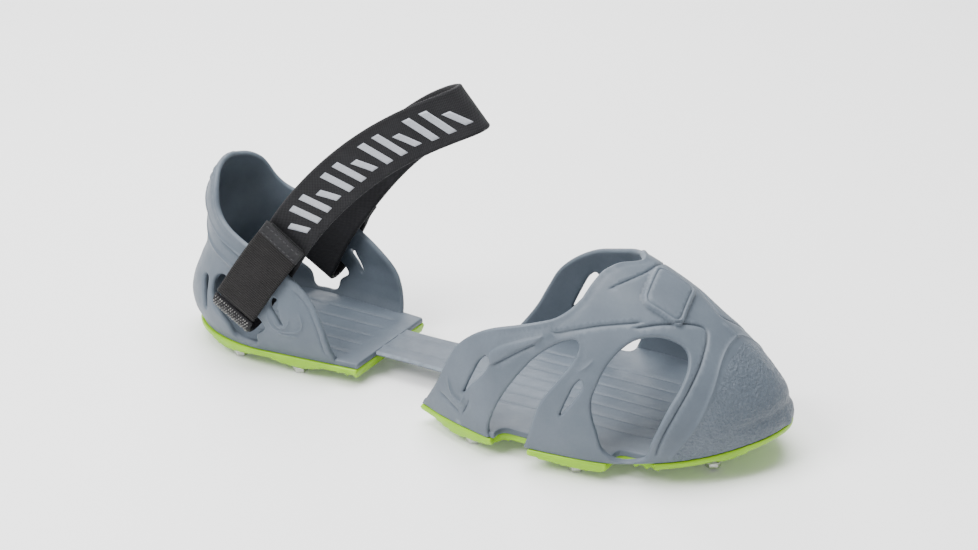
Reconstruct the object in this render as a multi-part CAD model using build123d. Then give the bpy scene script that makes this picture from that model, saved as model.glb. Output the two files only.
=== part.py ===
from build123d import *
import os
from math import sin, cos, radians, sqrt, exp

# A pull-on ice cleat for one shoe. Millimetres. +X points to the toe, +Y to the inner side of the
# foot and +Z up. The origin lies on the footbed, the flat top of the elastomer base plate.

# ---- driving dimensions: elastomer harness ----
WALL = 2.6
PLATE = 2.5
WALL_EMBED = 0.4
REAR_CORNER_X = -13.0
REAR_NOTCH_X = -4.0
SPRING_START_X = 70.0
SPRING_LENGTH = 60.0
SPRING_HEIGHT = 9.0
BASE_TUCKS = [(50, 0.02), (70, 0.04), (95, 0.10), (127.2, 0.10)]
TUCK_HEIGHT = 16.0
# start X, end X and depth of the bites in the plate under the side windows
WINDOW_RECESSES = [(27, 41, 7.0), (75, 90, 5.0)]
# half width, centre line and crest height of the forefoot shell along X
HALF_WIDTHS = [(-30, 34), (-13, 38.5), (0, 43.5), (13, 47.5), (28, 50.5), (55, 50), (75, 48), (91, 43),
               (106, 34), (117, 23.5), (123, 15.5), (126, 9), (127.2, 3)]
CENTRES = [(-30, -2), (0, -4), (30, -4), (55, -3), (75, -2.5), (91, -2), (106, -1), (117, 0.5),
           (127.2, 2.5)]
CRESTS = [(-30, 96), (0, 86), (30, 76), (55, 68), (75, 59.5), (91, 50), (106, 38.5), (117, 28),
          (123, 21), (126, 15), (127.2, 10)]
# powers that shape the shell's cross-section: its rise and its width
OUTER_RISE_POWER = 0.86
OUTER_WIDTH_POWER = 0.80
# the inner side slopes more steeply than the outer one, fully so ahead of INNER_SLOPE_END_X
INNER_RISE_POWER = 1.15
INNER_WIDTH_POWER = 1.35
INNER_SLOPE_START_X = 40.0
INNER_SLOPE_END_X = 62.0
# X and Y of the collar's edge over the foot, seen from above
VAMP_NOTCH = [(52, -29), (57, -21.5), (60, -13), (63.5, -7), (64.8, -3), (63.5, 1), (60, 7), (57, 15.5),
              (52, 23)]
# length behind the heel centre and half width of the heel cup, up the height Z
HEEL_CENTRE_X = -100.0
HEEL_CENTRE_Y = -3.0
HEEL_LENGTHS = [(-2.5, 43), (4, 48.6), (10, 49.5), (15, 48.5), (26, 44), (34, 40.5), (43, 40), (52, 40.5),
                (60, 38.5), (72, 32)]
HEEL_HALF_WIDTHS = [(-2.5, 30.2), (4, 33), (10, 34), (15, 34), (26, 31.5), (34, 30), (43, 28.5),
                    (52, 28), (60, 27), (72, 24)]
HEEL_TAPER = 0.10
HEEL_PLATE_REACH = 0.48
HEEL_FRONT_X = -62.0

# ---- driving dimensions: bridge under the arch ----
BRIDGE_HALF_WIDTH = 14.0
FLEX_X = -38.0
KNUCKLE_R = PLATE / 2
FLEX_GAP = 0.4

# ---- driving dimensions: tread and studs ----
TREAD = 2.6
POD_BOTTOM = -8.0
STUD_TIP = -11.0
STUD_AF = 5.6
SHANK_R = 1.6
SHANK_PLAY = 0.05
NUT_R = 2.9
NUT_THICKNESS = 1.0
NUT_TOE_DROP = 0.5
# name of each stud pair: X, distance from the centre line, lift by the toe spring
FOREFOOT_STUDS = {"rear": (13, 40.5, 0.0), "middle": (59, 41.5, 0.0), "toe": (105, 17, 1.6)}
HEEL_STUDS = {"rear": (-113, 24, 0.0), "front": (-82, 24.5, 0.0)}
POD_SIZES = {"rear": (34, 18), "middle": (36, 18), "toe": (28, 18)}
HEEL_POD_SIZE = (27, 16)

# ---- driving dimensions: strap ----
STRAP_WIDTH = 21.0
STRAP_THICKNESS = 1.8
ANCHOR_X = -107.0
ANCHOR_Z = 16.0
CREST_X = -12.5
CREST_Z = 111.5
STRAP_BULGE = 6.8
PULL_X = -85.4
PULL_Z = 53.4
STRAP_HALF_SPAN = 26.2
TUCK_IN = 3.0
STRAP_TAPER = 0.4
TUCK_CENTRE = 0.21
TUCK_REACH = 0.13
ANCHOR_TILT = 30.0
CREST_TILT = 48.0
FOLD_R = 5.1
FOLD_END = 1.8
TAB_START = 3.0
# distance of the outer layers from the foot's middle plane, up the height Z
TAB_SPANS = [(16, 36.4), (28, 34.0), (40, 30.4), (47, 27.9), (51, 27.5)]
RETURN_SPANS = [(16, 36.4), (28, 34.0), (40, 30.2), (47, 26.7), (51, 26.3)]
TAB_END_Z = 48.5
RETURN_END_Z = 51.0
PATCH_WIDTH = 18.0
PATCH_START_Z = 42.0
HOOK_THICKNESS = 0.8
LOOP_THICKNESS = 0.7
STITCH_THICKNESS = 0.5
STITCH_ROWS = (45.0, 48.5)
STITCH_LENGTH = 1.6
SEAM_GAP = 0.05


def through(points, x):
    """Smooth curve through (x, value) points that never overshoots them."""
    last = len(points) - 2
    k = 0
    while k < last and x > points[k + 1][0]:
        k += 1

    def secant(i):
        return (points[i + 1][1] - points[i][1]) / (points[i + 1][0] - points[i][0])

    def slope(i):
        if i == 0:
            return secant(0)
        if i == last + 1:
            return secant(last)
        before = secant(i - 1)
        after = secant(i)
        if before * after <= 0:
            return 0.0
        return 2 * before * after / (before + after)

    width = points[k + 1][0] - points[k][0]
    s = (x - points[k][0]) / width
    start = points[k][1] * (1 + 2 * s) * (1 - s) ** 2 + slope(k) * width * s * (1 - s) ** 2
    end = points[k + 1][1] * s * s * (3 - 2 * s) + slope(k + 1) * width * s * s * (s - 1)
    return start + end


def spring(x):
    """Height that the toe curls up at X."""
    if x < SPRING_START_X:
        return 0.0
    return SPRING_HEIGHT * ((x - SPRING_START_X) / SPRING_LENGTH) ** 2


def base_tuck(x):
    """Share by which the shell draws in at its base."""
    return through(BASE_TUCKS, max(x, BASE_TUCKS[0][0]))


def inner_slope(x):
    """Share of the inner side's steeper slope that applies at X."""
    share = min(max((x - INNER_SLOPE_START_X) / (INNER_SLOPE_END_X - INNER_SLOPE_START_X), 0), 1)
    return share * share * (3 - 2 * share)


def shell_point(x, angle, inset):
    """Point of the forefoot shell's cross-section at X; the angle runs over the foot from 0 to 180."""
    toward_nose = min(max((x - 95) / 25, 0), 1)
    x_shape = min(x + inset * toward_nose, 127.2)
    side = inset * (1 - 0.6 * toward_nose)
    half = through(HALF_WIDTHS, x_shape) - side
    low = spring(x) - PLATE
    high = through(CRESTS, x_shape) - side
    share = inner_slope(x) if angle > 90 else 0.0
    rise_power = OUTER_RISE_POWER + (INNER_RISE_POWER - OUTER_RISE_POWER) * share
    width_power = OUTER_WIDTH_POWER + (INNER_WIDTH_POWER - OUTER_WIDTH_POWER) * share
    z = low + (high - low) * max(sin(radians(angle)), 0.0) ** rise_power
    across = abs(cos(radians(angle))) ** width_power * half
    tuck = min(max((low + TUCK_HEIGHT - z) / TUCK_HEIGHT, 0), 1)
    across *= 1 - base_tuck(x_shape) * tuck ** 2
    sign = -1 if angle < 90 else 1
    return Vector(x, through(CENTRES, x_shape) + sign * across, z)


def shell_section(x, inset, depth):
    """Closed cross-section of the shell; depth carries the sides on below the plate."""
    angles = (0, 8, 18, 32, 50, 70, 90, 110, 130, 148, 162, 172, 180)
    arch = [shell_point(x, angle, inset) for angle in angles]
    edges = [Spline(*arch)]
    first = arch[0]
    final = arch[-1]
    if depth > 0:
        low_first = first - Vector(0, 0, depth)
        low_final = final - Vector(0, 0, depth)
        edges += [Line(final, low_final), Line(low_final, low_first), Line(low_first, first)]
    else:
        edges += [Line(final, first)]
    return make_face(Wire(edges).edges())


def heel_point(z, turn, inset):
    """Point of the heel cup at height Z; turn is -1 to 1 round the back, beyond that along the sides."""
    length = through(HEEL_LENGTHS, z) - inset
    half = through(HEEL_HALF_WIDTHS, z) - inset
    bend = radians(90) * min(max(turn, -1), 1)
    along = max(abs(turn) - 1, 0) * 100
    side = -1 if turn < 0 else 1
    x = HEEL_CENTRE_X - length * cos(bend) + along
    y = HEEL_CENTRE_Y + half * sin(bend) - side * along * HEEL_TAPER
    return Vector(x, y, z)


def heel_slice(z, inset, reach, level=None):
    """Closed horizontal slice of the heel cup."""
    turns = (-1 - reach, -1 - reach / 2, -1, -0.8, -0.55, -0.28, 0, 0.28, 0.55, 0.8, 1,
             1 + reach / 2, 1 + reach)
    ring = [heel_point(z, turn, inset) for turn in turns]
    if level is not None:
        ring = [Vector(p.X, p.Y, level) for p in ring]
    return make_face(Wire([Spline(*ring), Line(ring[-1], ring[0])]).edges())


def side_prism(outline, low_y=-90, high_y=90):
    """Closed X-Z outline carried straight across the foot."""
    face = make_face(outline)
    return extrude(face.moved(Location((0, low_y, 0))), high_y - low_y, dir=(0, 1, 0))


def xz(x, z):
    return Vector(x, 0, z)


def closed_spline(points):
    return Spline(*points, periodic=True)


def teardrop(wide, tail, radius, tail_radius):
    """Through-slot in side view, from a round wide end to a narrow tail."""
    axis = (tail - wide).normalized()
    normal = Vector(-axis.Z, 0, axis.X)
    points = [wide - axis * radius, wide + normal * radius, tail + normal * tail_radius,
              tail + axis * tail_radius, tail - normal * tail_radius, wide - normal * radius]
    return side_prism(closed_spline(points))


# ---- forefoot harness: one moulded elastomer shell with windows, struts and a base plate ----
def plan_edge(x, extra=0.0):
    """Lateral and medial edge of the base at X."""
    half = through(HALF_WIDTHS, x) * (1 - base_tuck(x)) + extra
    centre = through(CENTRES, x)
    return Vector(x, centre - half, 0), Vector(x, centre + half, 0)


def forefoot_plan(extra=0.0):
    """Outline of the forefoot base seen from above."""
    stations = (REAR_CORNER_X - extra, 5, 30, 55, 75, 91, 106, 117, 123.5)
    lateral = [plan_edge(x, extra)[0] for x in stations]
    medial = [plan_edge(x, extra)[1] for x in reversed(stations)]
    nose = Vector(127.0 + extra, through(CENTRES, 127), 0)
    rim = Spline(*lateral, nose, *medial)
    rear = ThreePointArc(medial[-1], Vector(REAR_NOTCH_X, -2, 0), lateral[0])
    return make_face([rim, rear])


def base_profile(low, high):
    """X-Z band that follows the toe spring between two depths measured from the footbed."""
    bends = [SPRING_START_X + step * SPRING_LENGTH / 4 for step in (1, 2, 3, 4.5)]
    top = [xz(SPRING_START_X, high)] + [xz(x, spring(x) + high) for x in bends]
    bottom = [xz(SPRING_START_X, low)] + [xz(x, spring(x) + low) for x in bends]
    rear_x = -200
    edges = [Line(xz(rear_x, high), top[0]),
             Spline(*top, tangents=[(1, 0, 0), (1, 0, 0.42)]),
             Line(top[-1], bottom[-1]),
             Spline(*reversed(bottom), tangents=[(-1, 0, -0.42), (-1, 0, 0)]),
             Line(bottom[0], xz(rear_x, low)),
             Line(xz(rear_x, low), xz(rear_x, high))]
    return side_prism(edges)


def window_recesses(depth_extra, low, high):
    """Shallow bites in the plate's edge under the side windows."""
    bites = []
    for start, end, depth in WINDOW_RECESSES:
        middle = (start + end) / 2
        for side in (0, 1):
            edge = plan_edge(middle)[side].Y
            outward = -1 if side == 0 else 1
            bite = Box(end - start + 2 * depth_extra, 30, high - low)
            bite = fillet(bite.edges().filter_by(Axis.Z), 3.0)
            inner = edge - outward * (depth + depth_extra)
            bites.append(Pos(middle, inner + outward * 15, (low + high) / 2) * bite)
    return bites


def bridge_half(front):
    """Half of the flat band under the arch, with its end at the flex line."""
    if front:
        start = FLEX_X + KNUCKLE_R + FLEX_GAP
        end = REAR_NOTCH_X + 2.0
        return Pos((start + end) / 2, -2, -PLATE / 2) * Box(end - start, 2 * BRIDGE_HALF_WIDTH, PLATE)
    start = HEEL_FRONT_X - 8.0
    body = Pos((start + FLEX_X) / 2, -2, -PLATE / 2) * Box(FLEX_X - start, 2 * BRIDGE_HALF_WIDTH, PLATE)
    knuckle = Cylinder(KNUCKLE_R, 2 * BRIDGE_HALF_WIDTH, rotation=(90, 0, 0))
    return body + Pos(FLEX_X, -2, -PLATE / 2) * knuckle


def forefoot_harness():
    outer_x = (-20, 0, 20, 40, 60, 78, 92, 104, 113, 120, 124.5, 127.2)
    inner_x = (-24, 0, 20, 40, 60, 78, 92, 104, 113, 119, 122.5, 124.4)
    outer = loft([shell_section(x, 0.0, 0.0) for x in outer_x])
    inner = loft([shell_section(x, WALL, 6.0) for x in inner_x])
    walls = outer - inner
    # behind and above the rear strut's sweeping edge there is no shell
    rear_edge = Spline(xz(-17, -8), xz(-12.7, -1.3), xz(-4, 11.5), xz(6, 30.4), xz(22, 42.5), xz(40, 48),
                       xz(52, 54), xz(57, 66))
    behind = side_prism([rear_edge, Line(xz(57, 66), xz(57, 130)), Line(xz(57, 130), xz(-60, 130)),
                         Line(xz(-60, 130), xz(-60, -8)), Line(xz(-60, -8), xz(-17, -8))])
    collar = [Vector(x, y, 45) for x, y in VAMP_NOTCH]
    notch_back = [Line(collar[-1], Vector(30, collar[-1].Y, 45)),
                  Line(Vector(30, collar[-1].Y, 45), Vector(30, collar[0].Y, 45)),
                  Line(Vector(30, collar[0].Y, 45), collar[0])]
    vamp_notch = extrude(make_face([Spline(*collar)] + notch_back), 90, dir=(0, 0, 1))
    window_one = side_prism(closed_spline([xz(24.4, -0.5), xz(28, 12.5), xz(39.6, 31.7), xz(53.2, 43),
                                           xz(59.2, 42.5), xz(54.1, 30), xz(46.6, 18.3), xz(42.1, 3.2),
                                           xz(38, -5), xz(29, -6)]))
    window_two = side_prism(closed_spline([xz(73, 3), xz(67.6, 18), xz(68.3, 28.5), xz(74.3, 42),
                                           xz(84, 46.5), xz(93, 43.5), xz(97.8, 34), xz(95.4, 23),
                                           xz(90.5, 8), xz(88, 0.5), xz(80, -1.5)]))
    slots = [teardrop(xz(21.3, 28.4), xz(11.9, 14.5), 2.6, 0.8),
             teardrop(xz(61.7, 27.9), xz(55.7, 16), 1.8, 0.8)]
    for cutter in [behind, vamp_notch, window_one, window_two] + slots:
        walls -= cutter
    plate = Pos(0, 0, -12) * extrude(forefoot_plan(-WALL_EMBED), 42)
    plate -= base_profile(0.0, 60.0)
    for bite in window_recesses(0.0, -14, 1.5):
        plate -= bite
    harness = walls + plate
    harness -= base_profile(-40.0, -PLATE)
    return harness + bridge_half(True)


# ---- heel harness: moulded cup with a pull tab, two strap windows and a base plate ----
def heel_windows():
    outline = closed_spline([xz(-110.5, 0.9), xz(-113.5, 6.5), xz(-120.5, 12), xz(-123.2, 18),
                             xz(-122.3, 24.5),
                             xz(-116.5, 27.2), xz(-106, 19), xz(-96, 13.2), xz(-93.6, 9.6), xz(-97.8, 5.5),
                             xz(-99, 0.9)])
    return side_prism(outline)


def heel_harness():
    heights = (-2.5, 4, 10, 15, 26, 34, 43, 52, 60, 72)
    outer = loft([heel_slice(z, 0.0, 0.44) for z in heights])
    inner_low = [heel_slice(-2.5, WALL, 0.55, -8.0)]
    inner_rings = [heel_slice(z, WALL, 0.55) for z in heights]
    inner = loft(inner_low + inner_rings + [heel_slice(72, WALL, 0.55, 78.0)])
    walls = outer - inner
    top_edge = Spline(xz(-62, -4), xz(-63.7, 6.4), xz(-69.9, 21.8), xz(-81.6, 32.3), xz(-90, 37.5),
                      xz(-103.3, 43), xz(-116.8, 48.2), xz(-123.6, 54), xz(-127, 64), xz(-134, 69.5))
    above = side_prism([top_edge, Line(xz(-134, 69.5), xz(-160, 69.5)), Line(xz(-160, 69.5), xz(-160, 90)),
                        Line(xz(-160, 90), xz(-30, 90)), Line(xz(-30, 90), xz(-30, -4)),
                        Line(xz(-30, -4), xz(-62, -4))])
    walls -= above
    walls -= heel_windows()
    walls -= teardrop(xz(-89.8, 22.0), xz(-85.3, 13.0), 1.7, 0.7)
    walls -= teardrop(xz(-129.0, 21.5), xz(-127.5, 9.0), 1.9, 0.8)
    plate_face = heel_slice(0.0, WALL_EMBED, HEEL_PLATE_REACH, 0.0)
    plate = extrude(plate_face, -PLATE)
    return walls + plate + bridge_half(False)


# ---- tread: lime outsole plates with pods that hold the studs ----
def pod(x, y, lift, length, width):
    """Mound under one stud, narrower at the bottom."""
    rim = -PLATE - TREAD + lift
    upper = Plane((x, y, rim)) * SlotOverall(length, width)
    lower = Plane((x, y, POD_BOTTOM + lift)) * SlotOverall(length * 0.6, width * 0.62)
    return loft([upper, lower]) + extrude(upper, TREAD, dir=(0, 0, 1))


def stud_sites(sites):
    """Every stud as (name, x, y, lift), on the lateral and the medial side."""
    found = []
    for name, (x, reach, lift) in sites.items():
        centre = through(CENTRES, x) if x > -30 else HEEL_CENTRE_Y
        found.append((name + "_outer", x, centre - reach, lift))
        found.append((name + "_inner", x, centre + reach, lift))
    return found


def stud_bores(sites):
    cutters = []
    for name, x, y, lift in stud_sites(sites):
        cutters.append(Pos(x, y, lift - 6) * Cylinder(SHANK_R + SHANK_PLAY, 12))
        nut_top = -PLATE + lift + (0 if lift == 0 else NUT_TOE_DROP)
        pocket_depth = NUT_THICKNESS + 0.1
        cutters.append(Pos(x, y, nut_top - pocket_depth / 2) * Cylinder(NUT_R + 0.1, pocket_depth))
    return cutters


def forefoot_tread():
    plan = extrude(forefoot_plan(0.6), 30, both=True)
    plate = plan & base_profile(-PLATE - TREAD, -PLATE)
    for bite in window_recesses(1.0, -12, 2):
        plate -= bite
    below_plate = base_profile(-20, -PLATE)
    for name, x, y, lift in stud_sites(FOREFOOT_STUDS):
        length, width = POD_SIZES[name.split("_")[0]]
        plate += pod(x, y, lift, length, width) & below_plate
    for cutter in stud_bores(FOREFOOT_STUDS):
        plate -= cutter
    return plate


def heel_tread():
    plate = extrude(heel_slice(0.0, -0.6, HEEL_PLATE_REACH, -PLATE), -TREAD)
    for name, x, y, lift in stud_sites(HEEL_STUDS):
        plate += pod(x, y, lift, *HEEL_POD_SIZE)
    for cutter in stud_bores(HEEL_STUDS):
        plate -= cutter
    return plate


def stud(x, y, lift):
    """Hex-headed steel stud; its shank runs up into the nut."""
    head_height = POD_BOTTOM - STUD_TIP
    head = extrude(RegularPolygon(STUD_AF / 2, 6, major_radius=False), head_height)
    head = chamfer(head.faces().sort_by(Axis.Z)[0].edges(), 0.5)
    socket = Pos(0, 0, 0.4) * Cylinder(1.3, 0.8)
    head -= socket
    shank_top = -PLATE - 0.2 if lift == 0 else -PLATE + NUT_TOE_DROP - 0.2
    shank_length = shank_top - POD_BOTTOM
    shank = Pos(0, 0, head_height + shank_length / 2) * Cylinder(SHANK_R, shank_length)
    return Pos(x, y, STUD_TIP + lift) * (head + shank)


def backing_nut(x, y, lift):
    """Flat washer nut between the tread and the harness plate."""
    top = -PLATE + lift + (0 if lift == 0 else NUT_TOE_DROP)
    nut = Cylinder(NUT_R, NUT_THICKNESS) - Cylinder(SHANK_R + SHANK_PLAY, NUT_THICKNESS)
    return Pos(x, y, top - NUT_THICKNESS / 2 - 0.02) * nut


# ---- strap: webbing that runs from window to window over the instep ----
def strap_side_view(height):
    """X and Z of the strap's middle at a height fraction, 0 at the anchor and 1 at the crest."""
    z = ANCHOR_Z + (CREST_Z - ANCHOR_Z) * height
    first = 2 * (PULL_Z - ANCHOR_Z)
    second = ANCHOR_Z - 2 * PULL_Z + CREST_Z
    s = (-first + sqrt(first ** 2 + 4 * second * (z - ANCHOR_Z))) / (2 * second)
    x = ANCHOR_X * (1 - s) ** 2 + 2 * PULL_X * s * (1 - s) + CREST_X * s ** 2
    bulge = STRAP_BULGE * 6.75 * height ** 2 * (1 - height)
    return x - 0.7 * bulge, z + 0.7 * bulge


def strap_tilt(height):
    return ANCHOR_TILT + (CREST_TILT - ANCHOR_TILT) * height


def strap_across(height):
    """Distance of the strap's middle from the foot's middle plane."""
    hug = TUCK_IN * exp(-((height - TUCK_CENTRE) / TUCK_REACH) ** 2)
    return STRAP_HALF_SPAN * (1 - height ** 2) ** 0.40 - hug


def strap_station(height, across, side):
    """Middle point and generator direction of the webbing on one side of the foot."""
    x, z = strap_side_view(height)
    tilt = radians(strap_tilt(height))
    taper = -side * STRAP_TAPER * height * (1 - height)
    generator = Vector(cos(tilt), taper * cos(tilt), -sin(tilt)).normalized()
    return Vector(x, HEEL_CENTRE_Y + side * across, z), generator


def fold_station(turn, side):
    """Station on the fold under the harness band; turn 0 is the inner end, 180 the outer end."""
    start, generator = strap_station(0.0, STRAP_HALF_SPAN, side)
    up = Vector(sin(radians(ANCHOR_TILT)), 0, cos(radians(ANCHOR_TILT)))
    outward = Vector(0, side, 0)
    shift = outward * (FOLD_R - FOLD_R * cos(radians(turn))) - up * (FOLD_R * sin(radians(turn)))
    return start + shift, generator


def fold_end_station(side, rise):
    """Station above the fold's outer end."""
    centre, generator = fold_station(180, side)
    up = Vector(sin(radians(ANCHOR_TILT)), 0, cos(radians(ANCHOR_TILT)))
    return centre + up * rise, generator


def webbing(stations, width, thickness, offset=0.0):
    """Flat band through the stations; offset moves it along its own normal."""
    sections = []
    for k, (centre, generator) in enumerate(stations):
        before = stations[max(k - 1, 0)][0]
        after = stations[min(k + 1, len(stations) - 1)][0]
        normal = generator.cross(after - before).normalized()
        middle = centre + normal * offset
        half_w = generator * (width / 2)
        half_t = normal * (thickness / 2)
        corners = [middle - half_w - half_t, middle + half_w - half_t, middle + half_w + half_t,
                   middle - half_w + half_t]
        sections.append(make_face(Polyline(*corners, close=True)))
    return loft(sections, ruled=True)


def height_of(z):
    return (z - ANCHOR_Z) / (CREST_Z - ANCHOR_Z)


def strap_run(low_z, high_z, steps, spans, side):
    """Stations of an outer layer between two heights."""
    stations = []
    for k in range(steps + 1):
        z = low_z + (high_z - low_z) * k / steps
        across = through(spans, z) if spans else strap_across(height_of(z))
        stations.append(strap_station(height_of(z), across, side))
    return stations


def instep_strap():
    """One length of webbing: outer fold, inner layer, over the instep, and down the other side."""
    one_side = [fold_end_station(-1, FOLD_END)]
    one_side += [fold_station(turn, -1) for turn in range(180, -1, -20)]
    climbs = [sin(radians(angle)) for angle in range(3, 90, 3)]
    one_side += [strap_station(climb, strap_across(climb), -1) for climb in climbs]
    crest = [strap_station(1.0, 0.0, -1)]
    other_side = [strap_station(climb, strap_across(climb), 1) for climb in reversed(climbs)]
    other_side += [fold_station(turn, 1) for turn in range(0, 181, 20)]
    other_side += [fold_end_station(1, FOLD_END)]
    return webbing(one_side + crest + other_side, STRAP_WIDTH, STRAP_THICKNESS)


def strap_tab():
    """Free end of the webbing; its lower end is half round about the peel line."""
    root = fold_end_station(-1, TAB_START)
    run = strap_run(root[0].Z + 4.0, TAB_END_Z, 9, TAB_SPANS, -1)
    band = webbing([root] + run, STRAP_WIDTH, STRAP_THICKNESS)
    barrel = Cylinder(STRAP_THICKNESS / 2, STRAP_WIDTH)
    return band + Plane(origin=root[0], z_dir=root[1]) * barrel


def hook_patch():
    run = strap_run(PATCH_START_Z, TAB_END_Z - 0.6, 4, TAB_SPANS, -1)
    return webbing(run, PATCH_WIDTH, HOOK_THICKNESS, -(STRAP_THICKNESS + HOOK_THICKNESS) / 2 - SEAM_GAP)


def loop_patch():
    run = strap_run(PATCH_START_Z, TAB_END_Z - 0.6, 4, None, -1)
    return webbing(run, PATCH_WIDTH, LOOP_THICKNESS, (STRAP_THICKNESS + LOOP_THICKNESS) / 2 + SEAM_GAP)


def sewn_return():
    """Inner-side end of the webbing, folded up over the band and sewn down."""
    root = fold_end_station(1, FOLD_END)
    above_root = fold_end_station(1, FOLD_END + 0.6)
    run = strap_run(root[0].Z + 4.0, RETURN_END_Z, 20, RETURN_SPANS, 1)
    return webbing([root, above_root] + run, STRAP_WIDTH, STRAP_THICKNESS)


def stitch_row(z):
    run = strap_run(z - STITCH_LENGTH / 2, z + STITCH_LENGTH / 2, 2, RETURN_SPANS, 1)
    return webbing(run, PATCH_WIDTH, STITCH_THICKNESS, -(STRAP_THICKNESS + STITCH_THICKNESS) / 2 - SEAM_GAP)


if __name__ == "__main__":
    os.makedirs("parts", exist_ok=True)
    nodes = {"forefoot_harness": forefoot_harness(), "heel_harness": heel_harness(),
             "forefoot_tread": forefoot_tread(), "heel_tread": heel_tread()}
    for name, x, y, lift in stud_sites(FOREFOOT_STUDS):
        nodes["forefoot_stud_" + name] = stud(x, y, lift)
        nodes["forefoot_nut_" + name] = backing_nut(x, y, lift)
    for name, x, y, lift in stud_sites(HEEL_STUDS):
        nodes["heel_stud_" + name] = stud(x, y, lift)
        nodes["heel_nut_" + name] = backing_nut(x, y, lift)
    nodes["instep_strap"] = instep_strap()
    nodes["strap_tab"] = strap_tab()
    nodes["hook_patch"] = hook_patch()
    nodes["loop_patch"] = loop_patch()
    nodes["sewn_return"] = sewn_return()
    for number, z in enumerate(STITCH_ROWS):
        nodes["bar_tack_" + str(number + 1)] = stitch_row(z)
    for name, shape in nodes.items():
        export_step(shape, "parts/" + name + ".step")
        print(name, round(shape.volume, 1))
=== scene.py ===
import bpy
import random
import numpy as np
from math import cos, exp, pi, radians, sin, sqrt
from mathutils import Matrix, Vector
from mathutils.geometry import delaunay_2d_cdt
from mathutils.kdtree import KDTree


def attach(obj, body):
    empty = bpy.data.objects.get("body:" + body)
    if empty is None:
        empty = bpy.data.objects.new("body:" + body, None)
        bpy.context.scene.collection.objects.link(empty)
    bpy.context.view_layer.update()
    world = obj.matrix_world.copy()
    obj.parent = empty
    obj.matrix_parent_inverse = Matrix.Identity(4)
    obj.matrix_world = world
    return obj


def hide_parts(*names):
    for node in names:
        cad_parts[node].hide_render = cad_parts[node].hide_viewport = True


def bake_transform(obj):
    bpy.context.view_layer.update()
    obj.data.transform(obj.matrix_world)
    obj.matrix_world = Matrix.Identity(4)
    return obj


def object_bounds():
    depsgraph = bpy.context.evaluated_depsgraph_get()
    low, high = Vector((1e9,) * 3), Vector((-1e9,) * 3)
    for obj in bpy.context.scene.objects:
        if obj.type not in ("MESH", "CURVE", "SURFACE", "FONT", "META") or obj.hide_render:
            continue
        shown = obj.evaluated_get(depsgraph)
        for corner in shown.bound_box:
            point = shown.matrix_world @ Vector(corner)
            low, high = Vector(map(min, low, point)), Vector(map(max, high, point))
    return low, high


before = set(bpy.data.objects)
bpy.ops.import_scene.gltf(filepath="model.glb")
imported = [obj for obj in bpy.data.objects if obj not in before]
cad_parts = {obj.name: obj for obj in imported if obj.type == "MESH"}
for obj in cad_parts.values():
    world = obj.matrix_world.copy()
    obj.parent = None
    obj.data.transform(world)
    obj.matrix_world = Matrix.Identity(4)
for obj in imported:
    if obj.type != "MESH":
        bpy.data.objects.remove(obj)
cad_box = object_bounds()
MM = 0.001
rng = random.Random(7)

# ---- shape constants in millimetres, as in the CAD source ----
WALL, PLATE, TREAD = 2.6, 2.5, 2.6
HALF_WIDTHS = [(-30, 34), (-13, 38.5), (0, 43.5), (13, 47.5), (28, 50.5), (55, 50), (75, 48), (91, 43),
               (106, 34), (117, 23.5), (123, 15.5), (126, 9), (127.2, 3)]
CENTRES = [(-30, -2), (0, -4), (30, -4), (55, -3), (75, -2.5), (91, -2), (106, -1), (117, 0.5), (127.2, 2.5)]
CRESTS = [(-30, 96), (0, 86), (30, 76), (55, 68), (75, 59.5), (91, 50), (106, 38.5), (117, 28),
          (123, 21), (126, 15), (127.2, 10)]
BASE_TUCKS = [(50, 0.02), (70, 0.04), (95, 0.10), (127.2, 0.10)]
HEEL_LENGTHS = [(-2.5, 43), (4, 48.6), (10, 49.5), (15, 48.5), (26, 44), (34, 40.5), (43, 40), (52, 40.5),
                (60, 38.5), (72, 32)]
HEEL_HALF_WIDTHS = [(-2.5, 30.2), (4, 33), (10, 34), (15, 34), (26, 31.5), (34, 30), (43, 28.5),
                    (52, 28), (60, 27), (72, 24)]
HEEL_CENTRE = (-100.0, -3.0)
HEEL_LOW, HEEL_HIGH = -PLATE, 72.0
HEEL_ARM_RUN, HEEL_ARM_TAPER = 100.0, 0.10
NOSE_X = 127.2
NOSE_CAP = 3.0
NOSE_BULGE = 0.8
SPRING_START, SPRING_RUN, SPRING_RISE = 70.0, 60.0, 9.0
TUCK_HEIGHT = 16.0
SHELL_START = -22.0
INNER_START, INNER_RUN = 40.0, 22.0
OUTER_POWERS, INNER_CHANGE = (0.86, 0.80), (0.29, 0.55)


# ---- small numeric helpers ----
def through(points, x):
    """Smooth curve through (x, value) points that never overshoots them, for arrays of x."""
    px = np.array([p[0] for p in points], float)
    pv = np.array([p[1] for p in points], float)
    sec = np.diff(pv) / np.diff(px)
    slope = np.zeros(len(px))
    slope[0], slope[-1] = sec[0], sec[-1]
    for i in range(1, len(px) - 1):
        a, b = sec[i - 1], sec[i]
        slope[i] = 0.0 if a * b <= 0 else 2 * a * b / (a + b)
    x = np.asarray(x, float)
    k = np.clip(np.searchsorted(px, x, side="left") - 1, 0, len(px) - 2)
    w = px[k + 1] - px[k]
    s = (x - px[k]) / w
    start = pv[k] * (1 + 2 * s) * (1 - s) ** 2 + slope[k] * w * s * (1 - s) ** 2
    return start + pv[k + 1] * s * s * (3 - 2 * s) + slope[k + 1] * w * s * s * (s - 1)


def smooth(t):
    t = np.clip(t, 0, 1)
    return t * t * (3 - 2 * t)


def spring(x):
    """Height of the sole at X: flat, then rising to the toe."""
    x = np.asarray(x, float)
    return np.where(x < SPRING_START, 0.0, SPRING_RISE * ((x - SPRING_START) / SPRING_RUN) ** 2)


def base_tuck(x):
    """Share by which the wall's foot is drawn in at X."""
    return through(BASE_TUCKS, np.maximum(x, 50))


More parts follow.
